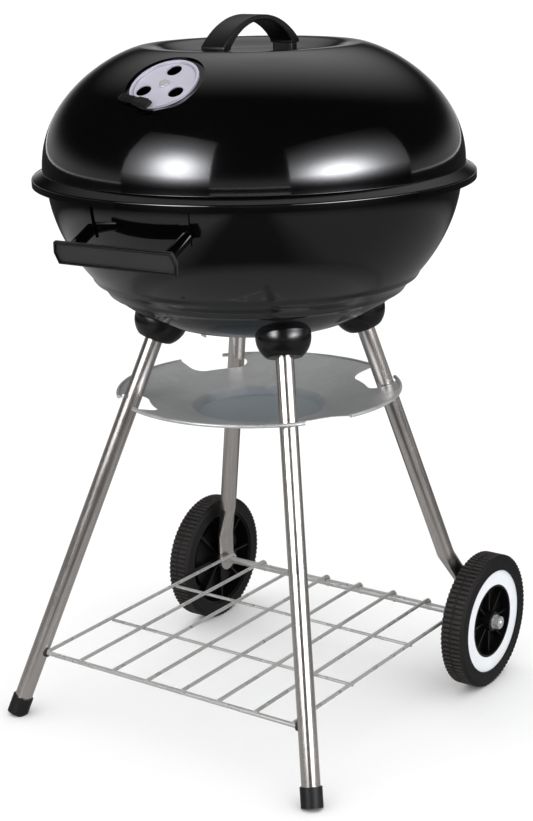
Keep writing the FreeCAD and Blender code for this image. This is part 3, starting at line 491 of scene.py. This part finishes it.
def tube_steel(name, colour, axis):
    """Polished tube with drawn lines along its length and faint marks."""
    f = Finish(name, colour, 0.2, metallic=1.0)
    tilt = Vector(axis).rotation_difference(UP).to_euler("XYZ")
    drawn = f.noise(1, 3, 0.7, where=f.place((900, 900, 7), tilt))
    broad = f.noise(1, 2, 0.5, where=f.place((160, 160, 3), tilt))
    stain = f.noise(26, 4, 0.65)
    f.set("Base Color", f.blend(0.6 * broad + 0.4 * stain, f.shade(0.72), f.shade(1.2)))
    f.set("Roughness", 0.1 + 0.14 * drawn + 0.1 * stain)
    f.bump(drawn, 0.12, 0.08 * MM)
    return f.material


def plated(name, colour, roughness=0.25):
    """Bright plated wire and fasteners, slightly cloudy with fine pits."""
    f = Finish(name, colour, roughness, metallic=0.55)
    cloud = f.noise(24, 3, 0.5)
    pits = f.noise(1400, 2, 0.5)
    f.set("Base Color", f.blend(0.7 * cloud + 0.3 * pits, f.shade(0.76), f.shade(1.12)))
    f.set("Roughness", roughness - 0.04 + 0.1 * cloud)
    f.bump(pits, 0.15, 0.1 * MM)
    return f.material


def galvanised(name, colour):
    """Hazy zinc sheet with soft crystal patches and rolling marks, with a darker, bluer painted shade in
    the tray's well.
    """
    f = Finish(name, colour, 0.4, metallic=0.5)
    crystals = f.node("TexVoronoi", None, {"Vector": f.place(), "Scale": 95.0}, out="Color")
    grey = f.node("RGBToBW", None, {0: crystals})
    cloud = f.noise(14, 4, 0.6)
    rolled = f.noise(1, 2, 0.6, where=f.place((700, 9, 200)))
    reach = f.distance(f.place((1, 1, 0)))
    # Painted shade: the tray's well is coloured darker and bluer than the rest of the sheet.
    well_r, well_edge_r, well_shade_tone = 66 * MM, 73.5 * MM, (0.26, 0.32, 0.36)
    well = 1.0 - f.ramp(reach, well_r, well_edge_r)
    sheet = f.blend(0.5 * cloud + 0.28 * grey + 0.22 * rolled, f.shade(0.72), f.shade(1.25))
    f.set("Base Color", f.blend(well * 0.6, sheet, well_shade_tone))
    f.set("Roughness", 0.3 + 0.18 * cloud + 0.08 * grey)
    f.bump(0.5 * grey + 0.5 * f.noise(240, 2), 0.06, 0.3 * MM)
    return f.material


def spun_aluminium(name, colour, centre, turn_by, groove_r):
    """Pale rolled sheet with fine lines one way and painted shade darkening the groove by its rim."""
    f = Finish(name, colour, 0.42, metallic=0.55)
    lines = f.noise(1, 3, 0.7, where=f.place((30, 1600, 400), turn_by, centre))
    cloud = f.noise(45, 3, 0.6)
    reach = f.distance(f.place((1, 1, 0), turn_by, centre))
    # Painted shade: the sheet is coloured darker along the groove by its rim.
    groove_shade = reach.fall(groove_r, 0.7 * MM)
    sheet = f.blend(0.5 * lines + 0.5 * cloud, f.shade(0.86), f.shade(1.08))
    f.set("Base Color", f.blend(0.75 * groove_shade, sheet, f.shade(0.25)))
    f.set("Roughness", 0.34 + 0.14 * lines)
    f.bump(lines, 0.08, 0.06 * MM)
    return f.material


def rubber(name, colour, axis_at=(0, 0, 0), grooves=(0.0, 1 * MM)):
    """Hard compound with dust in its grain, painted shade darkening the grooves and dust on top of the
    bars.
    """
    f = Finish(name, colour, 0.62, specular=0.22)
    dust = f.noise(38, 5, 0.7)
    grain = f.noise(1900, 2, 0.6)
    reach = f.distance(f.place((0, 1, 1), origin=axis_at))
    top = f.ramp(reach, *grooves)
    dusty = f.blend(dust, f.shade(1.6), f.shade(4.2))
    # Painted shade: the grooves between the bars are coloured darker than the compound, and the bar tops
    # carry the dust.
    f.set("Base Color", f.blend(top, f.shade(0.55), dusty))
    f.set("Roughness", 0.52 + 0.22 * dust)
    f.bump(grain + 0.5 * dust, 0.22, 0.2 * MM)
    return f.material


def white_trim(name, colour):
    """White moulded ring, a little uneven and slightly yellowed in places."""
    f = Finish(name, colour, 0.4)
    cloud = f.noise(30, 4, 0.6)
    f.set("Base Color", f.blend(cloud, f.shade(0.94), f.shade(1.04)))
    f.set("Roughness", 0.32 + 0.16 * cloud)
    f.bump(f.noise(700, 2), 0.06, 0.2 * MM)
    return f.material


# ---------------------------------------------------------------- lid and bowl
SIDES = ("_right", "_left")
LID_POWERS = (1.35, 2.14)
SKIRT = 7.4 * MM
FLANGE_ROUNDING = 1.8 * MM
FOOT_ROUNDING = 0.5 * MM
CREST_EDGE_R = 103 * MM
DOME_STEPS = 44
RECESS_STEPS = 12
SEAT_REACH = 20 * MM
VENT_COUNT = 3
VENT_R = 7.8 * MM
VENT_RING_R = 21 * MM
BOWL_POWERS = (1.73, 1.83)
RIDGES = (481.0 * MM, 466.6 * MM)
RIDGE_HEIGHT = 1.7 * MM
RIDGE_HALF = 4.6 * MM
BOWL_STEPS = 96
ASH_HOLE_R = 11.5 * MM
ASH_RING_R = 27 * MM
RIM_R = 3.4 * MM
RIM_STEPS = 24


def superellipse(share_up, inner, outer, foot, top, powers):
    """A point of a dome's outline, from its foot at 0 to its crown at 1."""
    angle = share_up * math.pi / 2
    reach = max(0.0, math.cos(angle)) ** (2 / powers[0])
    climb = max(0.0, math.sin(angle)) ** (2 / powers[1])
    return (inner + (outer - inner) * reach, foot + (top - foot) * climb)


def lid_outline(k):
    """From the skirt up over the flange, the dome and the crest to the recess's centre."""
    skirt = [(k.flange_r, k.flange_z - SKIRT), (k.flange_r, k.flange_z), (k.foot_r, k.foot_z)]
    dome = [superellipse(n / DOME_STEPS, k.crown_r, k.foot_r, k.foot_z, k.crest_z, LID_POWERS)
            for n in range(1, DOME_STEPS + 1)]
    points = rounded(skirt + dome[:1], {1: FLANGE_ROUNDING, 2: FOOT_ROUNDING}, 5)[:-1]
    points += dome
    for n in range(1, RECESS_STEPS + 1):
        s = n / RECESS_STEPS
        fall = (1 - math.cos(math.pi * s)) / 2
        points.append((CREST_EDGE_R + (k.recess_r - CREST_EDGE_R) * s, k.crest_z - k.recess_depth * fall))
    points.append((0.0, k.crest_z - k.recess_depth))
    return points


def bowl_outline(k):
    """From the floor's centre up the wall and round the rolled rim."""
    points = [(0.0, k.floor_z)]
    for n in range(BOWL_STEPS + 1):
        r, z = superellipse(1 - n / BOWL_STEPS, k.floor_r, k.bowl_r, k.bowl_top_z, k.floor_z,
                            BOWL_POWERS)
        for ridge in RIDGES:
            off = abs(z - ridge) / RIDGE_HALF
            if off < 1:
                lift = RIDGE_HEIGHT * (0.5 + 0.5 * math.cos(math.pi * off))
                r, z = r + lift * 0.8, z - lift * 0.6
        points.append((r, z))
    return points


def find_vent():
    """Centre and outward direction of the damper's seat, from the joint that turns the damper."""
    joint = next(j for j in frame["joints"] if j["name"] == "lid_damper_turn")
    return Vector(joint["pos_m"]), Vector(joint["axis"]).normalized()


class GRILL_OT_lid_shell(bpy.types.Operator):
    """Turn the lid's sheet, press the damper's seat into it and open its vents."""
    bl_idname = "grill.lid_shell"
    bl_label = "Lid shell"

    def execute(self, context):
        k = context.scene.grill_kettle
        outline = [ring_point(r, z) for r, z in lid_outline(k)]
        lid = turn("lid_skin", outline, (0, 0, 0), UP, k.turn_steps)
        body = duplicate(lid, "lid_filled")
        apply_modifier(lid, "SOLIDIFY", thickness=k.sheet, offset=-1, use_even_offset=True)
        edit(body)
        bpy.ops.mesh.select_all(action="DESELECT")
        bpy.ops.mesh.select_non_manifold()
        bpy.ops.mesh.edge_face_add()
        leave_edit()
        close_up(body)
        centre, out = find_vent()
        reach = out * SEAT_REACH
        cup = rod("vent_cup", k.seat_r, centre - out * k.sheet, centre + reach, 96)
        combine(cup, body, "INTERSECT")
        hollow = rod("cup_hollow", k.seat_r - k.sheet, centre, centre + reach * 1.2, 96)
        combine(cup, hollow, "DIFFERENCE")
        bore = rod("vent_bore", k.seat_r - k.sheet / 2, centre - reach, centre + reach, 96)
        combine(lid, bore, "DIFFERENCE")
        combine(lid, cup, "UNION")
        level = UP.cross(out).normalized()
        rise = out.cross(level)
        for n in range(VENT_COUNT):
            angle = math.pi / 2 + FULL * n / VENT_COUNT
            spot = centre + (level * math.cos(angle) + rise * math.sin(angle)) * VENT_RING_R
            combine(lid, rod("vent_hole", VENT_R, spot - reach, spot + reach, 40), "DIFFERENCE")
        smooth(close_up(lid), 32)
        hand_over(lid, "lid_shell", finish_named("enamel"), "lid")
        return {"FINISHED"}


class GRILL_OT_bowl_shell(bpy.types.Operator):
    """Turn the bowl's sheet with its ridges and roll its rim."""
    bl_idname = "grill.bowl_shell"
    bl_label = "Bowl shell"

    def execute(self, context):
        k = context.scene.grill_kettle
        outline = [ring_point(r, z) for r, z in bowl_outline(k)]
        bowl = turn("bowl_skin", outline, (0, 0, 0), UP, k.turn_steps)
        apply_modifier(bowl, "SOLIDIFY", thickness=k.sheet, offset=-1, use_even_offset=True)
        reach = UP * 5 * MM
        for n in range(VENT_COUNT):
            angle = FULL * n / VENT_COUNT
            spot = Vector((math.cos(angle), math.sin(angle), 0)) * ASH_RING_R + UP * k.floor_z
            combine(bowl, rod("ash_hole", ASH_HOLE_R, spot - reach, spot + reach, 48), "DIFFERENCE")
        top = node_box("bowl_shell")[1].z
        bead = [ring_point(k.bowl_r + RIM_R + RIM_R * math.cos(FULL * n / RIM_STEPS),
                           top - RIM_R + RIM_R * math.sin(FULL * n / RIM_STEPS))
                for n in range(RIM_STEPS + 1)]
        rim = turn("bowl_rim", bead, (0, 0, 0), UP, k.turn_steps)
        join(bowl, rim)
        smooth(bowl, 32)
        hand_over(bowl, "bowl_shell", finish_named("enamel"), "stand")
        return {"FINISHED"}


class GRILL_OT_lid_handle(bpy.types.Operator):
    """Draw the arch of the lid handle and round its edges."""
    bl_idname = "grill.lid_handle"
    bl_label = "Lid handle"

    def execute(self, context):
        low, high = node_box("lid_handle")
        span, width, rise, base = high.y, high.x - low.x, high.z - low.z, low.z
        foot_length = 13.5 * MM
        crown_thickness = 5.6 * MM
        inner_drop = 0.8 * MM
        steps = 40

        def arch(half, top, start):
            bowed = 0.88 * top
            radius = max((half ** 2 + bowed ** 2) / (2 * bowed), half)
            middle = start + top - radius
            reach = math.asin(min(1.0, half / radius))
            angles = [reach * (2 * n / steps - 1) for n in range(steps + 1)]
            return [(radius * math.sin(a), middle + radius * math.cos(a)) for a in angles]

        outer = [(-span, base)] + arch(span, rise, base) + [(span, base)]
        inner_half = span - foot_length
        under = arch(inner_half, rise + inner_drop - crown_thickness, base - inner_drop)
        inner = [(inner_half, base)] + under[::-1] + [(-inner_half, base)]
        inner = [point for point in inner if point[1] >= base]
        outline = [Vector((low.x, y, z)) for y, z in outer + inner]
        handle = plate("lid_grip", outline, Vector((width, 0, 0)))
        soften_edges(handle, 1.5 * MM, 4, 40)
        smooth(handle, 30)
        hand_over(handle, "lid_handle", finish_named("handle_plastic"), "lid")
        return {"FINISHED"}


# ---------------------------------------------------------------- wheels
class GRILL_OT_tyres(bpy.types.Operator):
    """Turn each tyre and set two rows of bars round its tread."""
    bl_idname = "grill.tyres"
    bl_label = "Tyres"

    def execute(self, context):
        w = context.scene.grill_wheels
        half = w.width / 2
        base_r = w.tyre_r - w.tread_depth
        shoulder_r = base_r - 4 * MM
        floor_r = base_r + 0.4 * MM
        floor_half = half - 2.5 * MM
        rib_r, rib_foot, rib_top = base_r + 1.0 * MM, 0.6 * MM, 0.45 * MM
        bar_inner, bar_outer = 1.1 * MM, half - 2.2 * MM
        foot_r, top_r = base_r - 0.3 * MM, w.tyre_r - TINY
        pitch = FULL * w.tyre_r / w.bar_count
        wide, narrow = 0.34 * pitch, 0.25 * pitch
        bar_face = ((-wide, foot_r), (wide, foot_r), (narrow, top_r), (-narrow, top_r))
        for side in SIDES:
            node = "wheel_tyre" + side
            middle = node_centre(node)
            profile = [(-half, w.rim_r), (-half, shoulder_r), (-floor_half, floor_r),
                       (-rib_foot, floor_r), (-rib_top, rib_r), (rib_top, rib_r), (rib_foot, floor_r),
                       (floor_half, floor_r), (half, shoulder_r), (half, w.rim_r)]
            profile = rounded(profile, {1: 1.5 * MM, 2: 1.2 * MM, 7: 1.2 * MM, 8: 1.5 * MM}, 4)
            profile.append(profile[0])
            spots = [middle + Vector((x, 0, r)) for x, r in profile]
            tyre = turn("tyre" + side, spots, middle, (1, 0, 0), 2 * w.bar_count)
            bars = []
            for start, end in ((-bar_outer, -bar_inner), (bar_inner, bar_outer)):
                outline = [middle + Vector((start, y, r)) for y, r in bar_face]
                bar = plate("bar", outline, Vector((end - start, 0, 0)))
                soften_edges(bar, 0.35 * MM, 2, 50)
                for n in range(w.bar_count):
                    twin = duplicate(bar, "bar_copy")
                    twin.data.transform(Matrix.Translation(middle)
                                        @ Matrix.Rotation(FULL * n / w.bar_count, 4, "X")
                                        @ Matrix.Translation(-middle))
                    bars.append(twin)
                bpy.data.objects.remove(bar, do_unlink=True)
            tyre = join(tyre, *bars)
            smooth(tyre, 30)
            hand_over(tyre, node, finish_named("tyre"), "wheel" + side)
        return {"FINISHED"}


# ---------------------------------------------------------------- finishes of the frame's own pieces
def leg_axis(node):
    """Direction of a leg's upper run, up to its top from half way or, in a straight tube, from its foot."""
    shape = frame["nodes"][node].data.vertices
    low, high = node_box(node)
    end_length = 12 * MM
    margin = 0.3 * (high.z - low.z)
    upper = [v.co for v in shape if v.co.z > high.z - end_length]
    lower = [v.co for v in shape if low.z + margin < v.co.z < high.z - margin]
    lower = lower or [v.co for v in shape if v.co.z < low.z + end_length]
    upper_middle = sum(upper, Vector()) / len(upper)
    lower_middle = sum(lower, Vector()) / len(lower)
    return (upper_middle - lower_middle).normalized()


def front_plane(node):
    """Facing and depth of the largest flat face on the side away from the kettle's axis."""
    middle = node_centre(node)
    away = Vector((middle.x, middle.y, 0)).normalized()
    groups = {}
    for face in frame["nodes"][node].data.polygons:
        if face.normal.dot(away) > 0.5:
            key = (*(round(c, 2) for c in face.normal), round(face.center.dot(face.normal), 4))
            groups.setdefault(key, []).append(face)
    flat = max(groups.values(), key=lambda faces: sum(f.area for f in faces))
    face = max(flat, key=lambda f: f.area)
    return tuple(face.normal), face.center.dot(face.normal)


class GRILL_OT_finishes(bpy.types.Operator):
    """Mix the finishes that several pieces share."""
    bl_idname = "grill.finishes"
    bl_label = "Finishes"

    def execute(self, context):
        c = context.scene.grill_colours
        centre, out = find_vent()
        flat = out.rotation_difference(UP).to_euler("XYZ")
        enamel("enamel", c.enamel)
        moulded("handle_plastic", c.plastic, 0.34, 1500, 0.25, 0.4)
        moulded("socket_plastic", c.plastic, 0.2, 900, 0.08, 0.45)
        moulded("cap_plastic", c.plastic, 0.42, 1300, 0.25, 0.3)
        moulded("hub_plastic", c.plastic, 0.34, 1100, 0.2, 0.3)
        framed_panel("grip_metal", c.satin, c.plastic, *front_plane("side_handle_grip"))
        plated("fastener_steel", (0.6, 0.6, 0.6))
        plated("shelf_wire", c.zinc, 0.27)
        plated("grate_wire", (0.7, 0.7, 0.7), 0.2)
        galvanised("galvanised", c.galvanised)
        spun_aluminium("lid_damper_sheet", c.aluminium, centre, flat, groove_r=31.6 * MM)
        spun_aluminium("bowl_damper_sheet", c.aluminium, (0, 0, 0), (0, 0, 0), groove_r=43 * MM)
        w = context.scene.grill_wheels
        centre_line = (0, *node_centre("wheel_tyre_right")[1:])
        grooves = (w.tyre_r - 0.7 * w.tread_depth, w.tyre_r - 0.1 * w.tread_depth)
        rubber("tyre", c.rubber, centre_line, grooves)
        rubber("grommet_rubber", c.rubber)
        white_trim("ring_plastic", c.white)
        return {"FINISHED"}


class GRILL_OT_legs(bpy.types.Operator):
    """Finish the tube legs, sockets and foot caps."""
    bl_idname = "grill.legs"
    bl_label = "Legs"

    def execute(self, context):
        steel = context.scene.grill_colours.steel
        ends = [end + side for end in ("_front", "_rear") for side in SIDES]
        for end in ends:
            node = "leg" + end
            coat(tube_steel("leg_steel" + end, steel, leg_axis(node)), node)
            coat(finish_named("socket_plastic"), "leg_socket" + end)
        coat(finish_named("cap_plastic"), "foot_cap_front_right", "foot_cap_front_left")
        coat(finish_named("fastener_steel"), "leg_plugs", "leg_bolts")
        return {"FINISHED"}


class GRILL_OT_fittings(bpy.types.Operator):
    """Finish the dampers, grates, shelf, axle, hubs, tray and handles' small pieces."""
    bl_idname = "grill.fittings"
    bl_label = "Fittings"

    def execute(self, context):
        coat(finish_named("lid_damper_sheet"), "lid_damper_disc")
        coat(finish_named("bowl_damper_sheet"), "bowl_damper_disc")
        coat(finish_named("cap_plastic"), "lid_damper_tab", "lid_handle_spacers")
        coat(finish_named("fastener_steel"), "lid_damper_rivet", "bowl_damper_rivet", "lid_handle_screws",
             "side_handle_bolts", "axle_nuts", "axle_washers", "axle_spacers")
        coat(finish_named("grate_wire"), "cooking_grate", "charcoal_grate")
        coat(finish_named("enamel"), "grate_brackets")
        coat(finish_named("shelf_wire"), "shelf", "axle")
        coat(finish_named("grommet_rubber"), "shelf_grommets")
        coat(finish_named("hub_plastic"), "wheel_hub_right", "wheel_hub_left")
        coat(finish_named("ring_plastic"), "wheel_ring_right", "wheel_ring_left")
        coat(finish_named("galvanised"), "ash_tray")
        coat(finish_named("grip_metal"), "side_handle_grip")
        coat(finish_named("enamel"), "side_handle_arms", "side_handle_straps")
        return {"FINISHED"}


# ---------------------------------------------------------------- stage
PANEL_REACH = 2.5
PANEL_AIM_Z = 0.55
PANEL_LOWER_EDGE = (0.42, 0.95)
HAZE_SPREAD = 2.2


def direction(heading, climb):
    """From the grill's axis outwards, turned round from the handle's side and raised."""
    return Vector((math.sin(heading) * math.cos(climb), -math.cos(heading) * math.cos(climb),
                   math.sin(climb)))


def reflections_only(thing):
    """Hides a stage piece from everything but glossy reflections."""
    thing.visible_camera = False
    thing.visible_diffuse = False
    thing.visible_shadow = False


def softbox(name, edges, rows, bright, spread, strength):
    """A glowing panel that faces the grill, brightest at one place; headings and heights in degrees."""
    heading = math.radians(sum(edges) / 2)
    facing = direction(heading, 0)
    across = Vector((math.cos(heading), math.sin(heading), 0))

    def side(angle):
        return PANEL_REACH * math.tan(math.radians(angle) - heading)

    def level(angle):
        return PANEL_AIM_Z + PANEL_REACH * math.tan(math.radians(angle))

    corners = [facing * PANEL_REACH + across * side(edges[a]) + UP * level(rows[b])
               for a, b in ((0, 0), (1, 0), (1, 1), (0, 1))]
    panel = plate(name, corners, facing * 5 * MM)
    glow = Finish(name, (0, 0, 0), 0.9)
    spot = glow.node("TexCoord", out="Object")
    u, v = glow.along(spot, across), glow.along(spot, UP)
    middle_u, middle_v = side(bright[0]), level(bright[1])
    core = u.fall(middle_u, spread[0]) * v.fall(middle_v, spread[1])
    haze = u.fall(middle_u, HAZE_SPREAD * spread[0]) * v.fall(middle_v, HAZE_SPREAD * spread[1])
    cut = glow.ramp(v, *PANEL_LOWER_EDGE)
    bell = (0.84 * core + 0.16 * haze) * (0.02 + 0.98 * cut * cut)
    glow.set("Emission Color", glow.blend(bell, (0, 0, 0), (0.95, 0.965, 1.0)))
    glow.set("Emission Strength", strength)
    panel.data.materials.append(glow.material)
    reflections_only(panel)


class GRILL_OT_stage(bpy.types.Operator):
    """Lay the floor, set the studio lights and place the camera."""
    bl_idname = "grill.stage"
    bl_label = "Stage"

    def execute(self, context):
        s = context.scene.grill_stage
        clear_selection()
        bpy.ops.mesh.primitive_plane_add(size=s.floor_size, location=(0, 0, 0))
        floor = bpy.context.object
        floor.name = "floor"
        settle(floor)
        paper = Finish("paper", (0.9, 0.9, 0.9), 0.9)
        paper.set("Base Color", paper.blend(paper.noise(0.6, 2), (0.89, 0.89, 0.89), (0.92, 0.92, 0.92)))
        floor.data.materials.append(paper.material)
        softbox("key_left", (-35, 14), (-8, 46), (-4, 17), (0.55, 0.55), 22)
        softbox("key_right", (54, 124), (-8, 42), (80, 10), (0.72, 0.42), 25)
        self.shade_card()
        self.surroundings(context)
        self.camera(s)
        context.scene.view_settings.view_transform = "Standard"
        return {"FINISHED"}

    def shade_card(self):
        """A glowing disc seen only in reflections, a painted reflection of the floor: dim near the grill,
        dark in front, paler at the sides.
        """
        inner_r, outer_r, lifted = 10 * MM, 14.0, 1 * MM
        disc = turn("shade_card", [ring_point(inner_r, lifted), ring_point(outer_r, lifted)], (0, 0, 0),
                    UP, 64)
        f = Finish("shade_card", (0, 0, 0), 0.9)
        spot = f.node("TexCoord", out="Object")
        reach = f.distance(spot)
        view = math.radians(36)
        across = f.along(spot, (math.cos(view), math.sin(view), 0))
        # Painted reflection: the disc's glow sets how bright the floor looks in the glossy parts.
        near = 0.30 * (1.0 - f.ramp(reach, 0.40, 0.52))
        left = 0.34 * f.ramp(across * -1.0, 0.30, 0.55)
        right = 0.18 * f.ramp(across, 0.18, 0.42)
        far = f.ramp(reach, 0.42, 0.55) * (1.0 - f.ramp(reach, 1.6, 2.2))
        whole = 0.02 + near + far * (left + right)
        f.set("Emission Color", f.blend(whole, (0, 0, 0), (1, 1, 1)))
        f.set("Emission Strength", 1.0)
        disc.data.materials.append(f.material)
        reflections_only(disc)

    def surroundings(self, context):
        """White behind the grill, and a dark room with a pale ceiling at the back in its reflections."""
        world = bpy.data.worlds.new("studio")
        context.scene.world = world
        world.use_nodes = True
        world.node_tree.nodes.clear()
        sky = Nodes(world.node_tree)
        ceiling = direction(math.radians(-150), math.radians(52))
        way = sky.node("TexCoord", out="Generated")
        lift = sky.ramp(sky.along(way, ceiling), 0.74, 0.99)
        horizon = sky.along(way, UP).fall(0.0, 0.12)
        room = 0.012 + 0.8 * lift * lift + 0.34 * horizon
        seen = sky.node("LightPath", out="Is Camera Ray")
        soft = sky.node("LightPath", out="Is Diffuse Ray")
        ambient = 1.34
        whole = seen + (1.0 - seen) * (soft * ambient + (1.0 - soft) * room)
        glow = sky.node("Background", None, {"Color": whole, "Strength": 1.0})
        end = sky.tree.nodes.new("ShaderNodeOutputWorld")
        sky.tree.links.new(glow.socket, end.inputs[0])

    def camera(self, s):
        back = direction(s.azimuth, s.elevation)
        right = UP.cross(back).normalized()
        up = back.cross(right)
        aim = UP * s.aim_z + right * s.aim_side
        across = right * math.cos(s.roll) + up * math.sin(s.roll)
        above = up * math.cos(s.roll) - right * math.sin(s.roll)
        bpy.ops.object.camera_add()
        camera = bpy.context.object
        camera.name = "camera"
        camera.matrix_world = Matrix.Translation(aim + back * s.distance) @ Matrix(
            (across, above, back)).transposed().to_4x4()
        camera.data.lens = s.lens
        camera.data.sensor_width = 36
        bpy.context.scene.camera = camera


# ---------------------------------------------------------------- panel and registration
STEPS = (
    ("finishes", GRILL_OT_finishes),
    ("lid_shell", GRILL_OT_lid_shell),
    ("bowl_shell", GRILL_OT_bowl_shell),
    ("lid_handle", GRILL_OT_lid_handle),
    ("tyres", GRILL_OT_tyres),
    ("legs", GRILL_OT_legs),
    ("fittings", GRILL_OT_fittings),
    ("stage", GRILL_OT_stage),
)
GROUPS = (
    ("grill_kettle", KettleSizes),
    ("grill_wheels", WheelSizes),
    ("grill_colours", Colours),
    ("grill_stage", StageSettings),
)


class GRILL_PT_builder(bpy.types.Panel):
    """Sidebar panel that lists the grill's builders."""
    bl_label = "Kettle Grill"
    bl_idname = "GRILL_PT_builder"
    bl_space_type = "VIEW_3D"
    bl_region_type = "UI"
    bl_category = "Grill"

    def draw(self, context):
        column = self.layout.column()
        for _, builder in STEPS:
            column.operator(builder.bl_idname)


def register():
    for name, group in GROUPS:
        bpy.utils.register_class(group)
        setattr(bpy.types.Scene, name, bpy.props.PointerProperty(type=group))
    for _, builder in STEPS:
        bpy.utils.register_class(builder)
    bpy.utils.register_class(GRILL_PT_builder)


def unregister():
    bpy.utils.unregister_class(GRILL_PT_builder)
    for _, builder in reversed(STEPS):
        bpy.utils.unregister_class(builder)
    for name, group in reversed(GROUPS):
        delattr(bpy.types.Scene, name)
        bpy.utils.unregister_class(group)


def main():
    register()
    for name, _ in STEPS:
        getattr(bpy.ops.grill, name)()


if __name__ == "__main__":
    main()
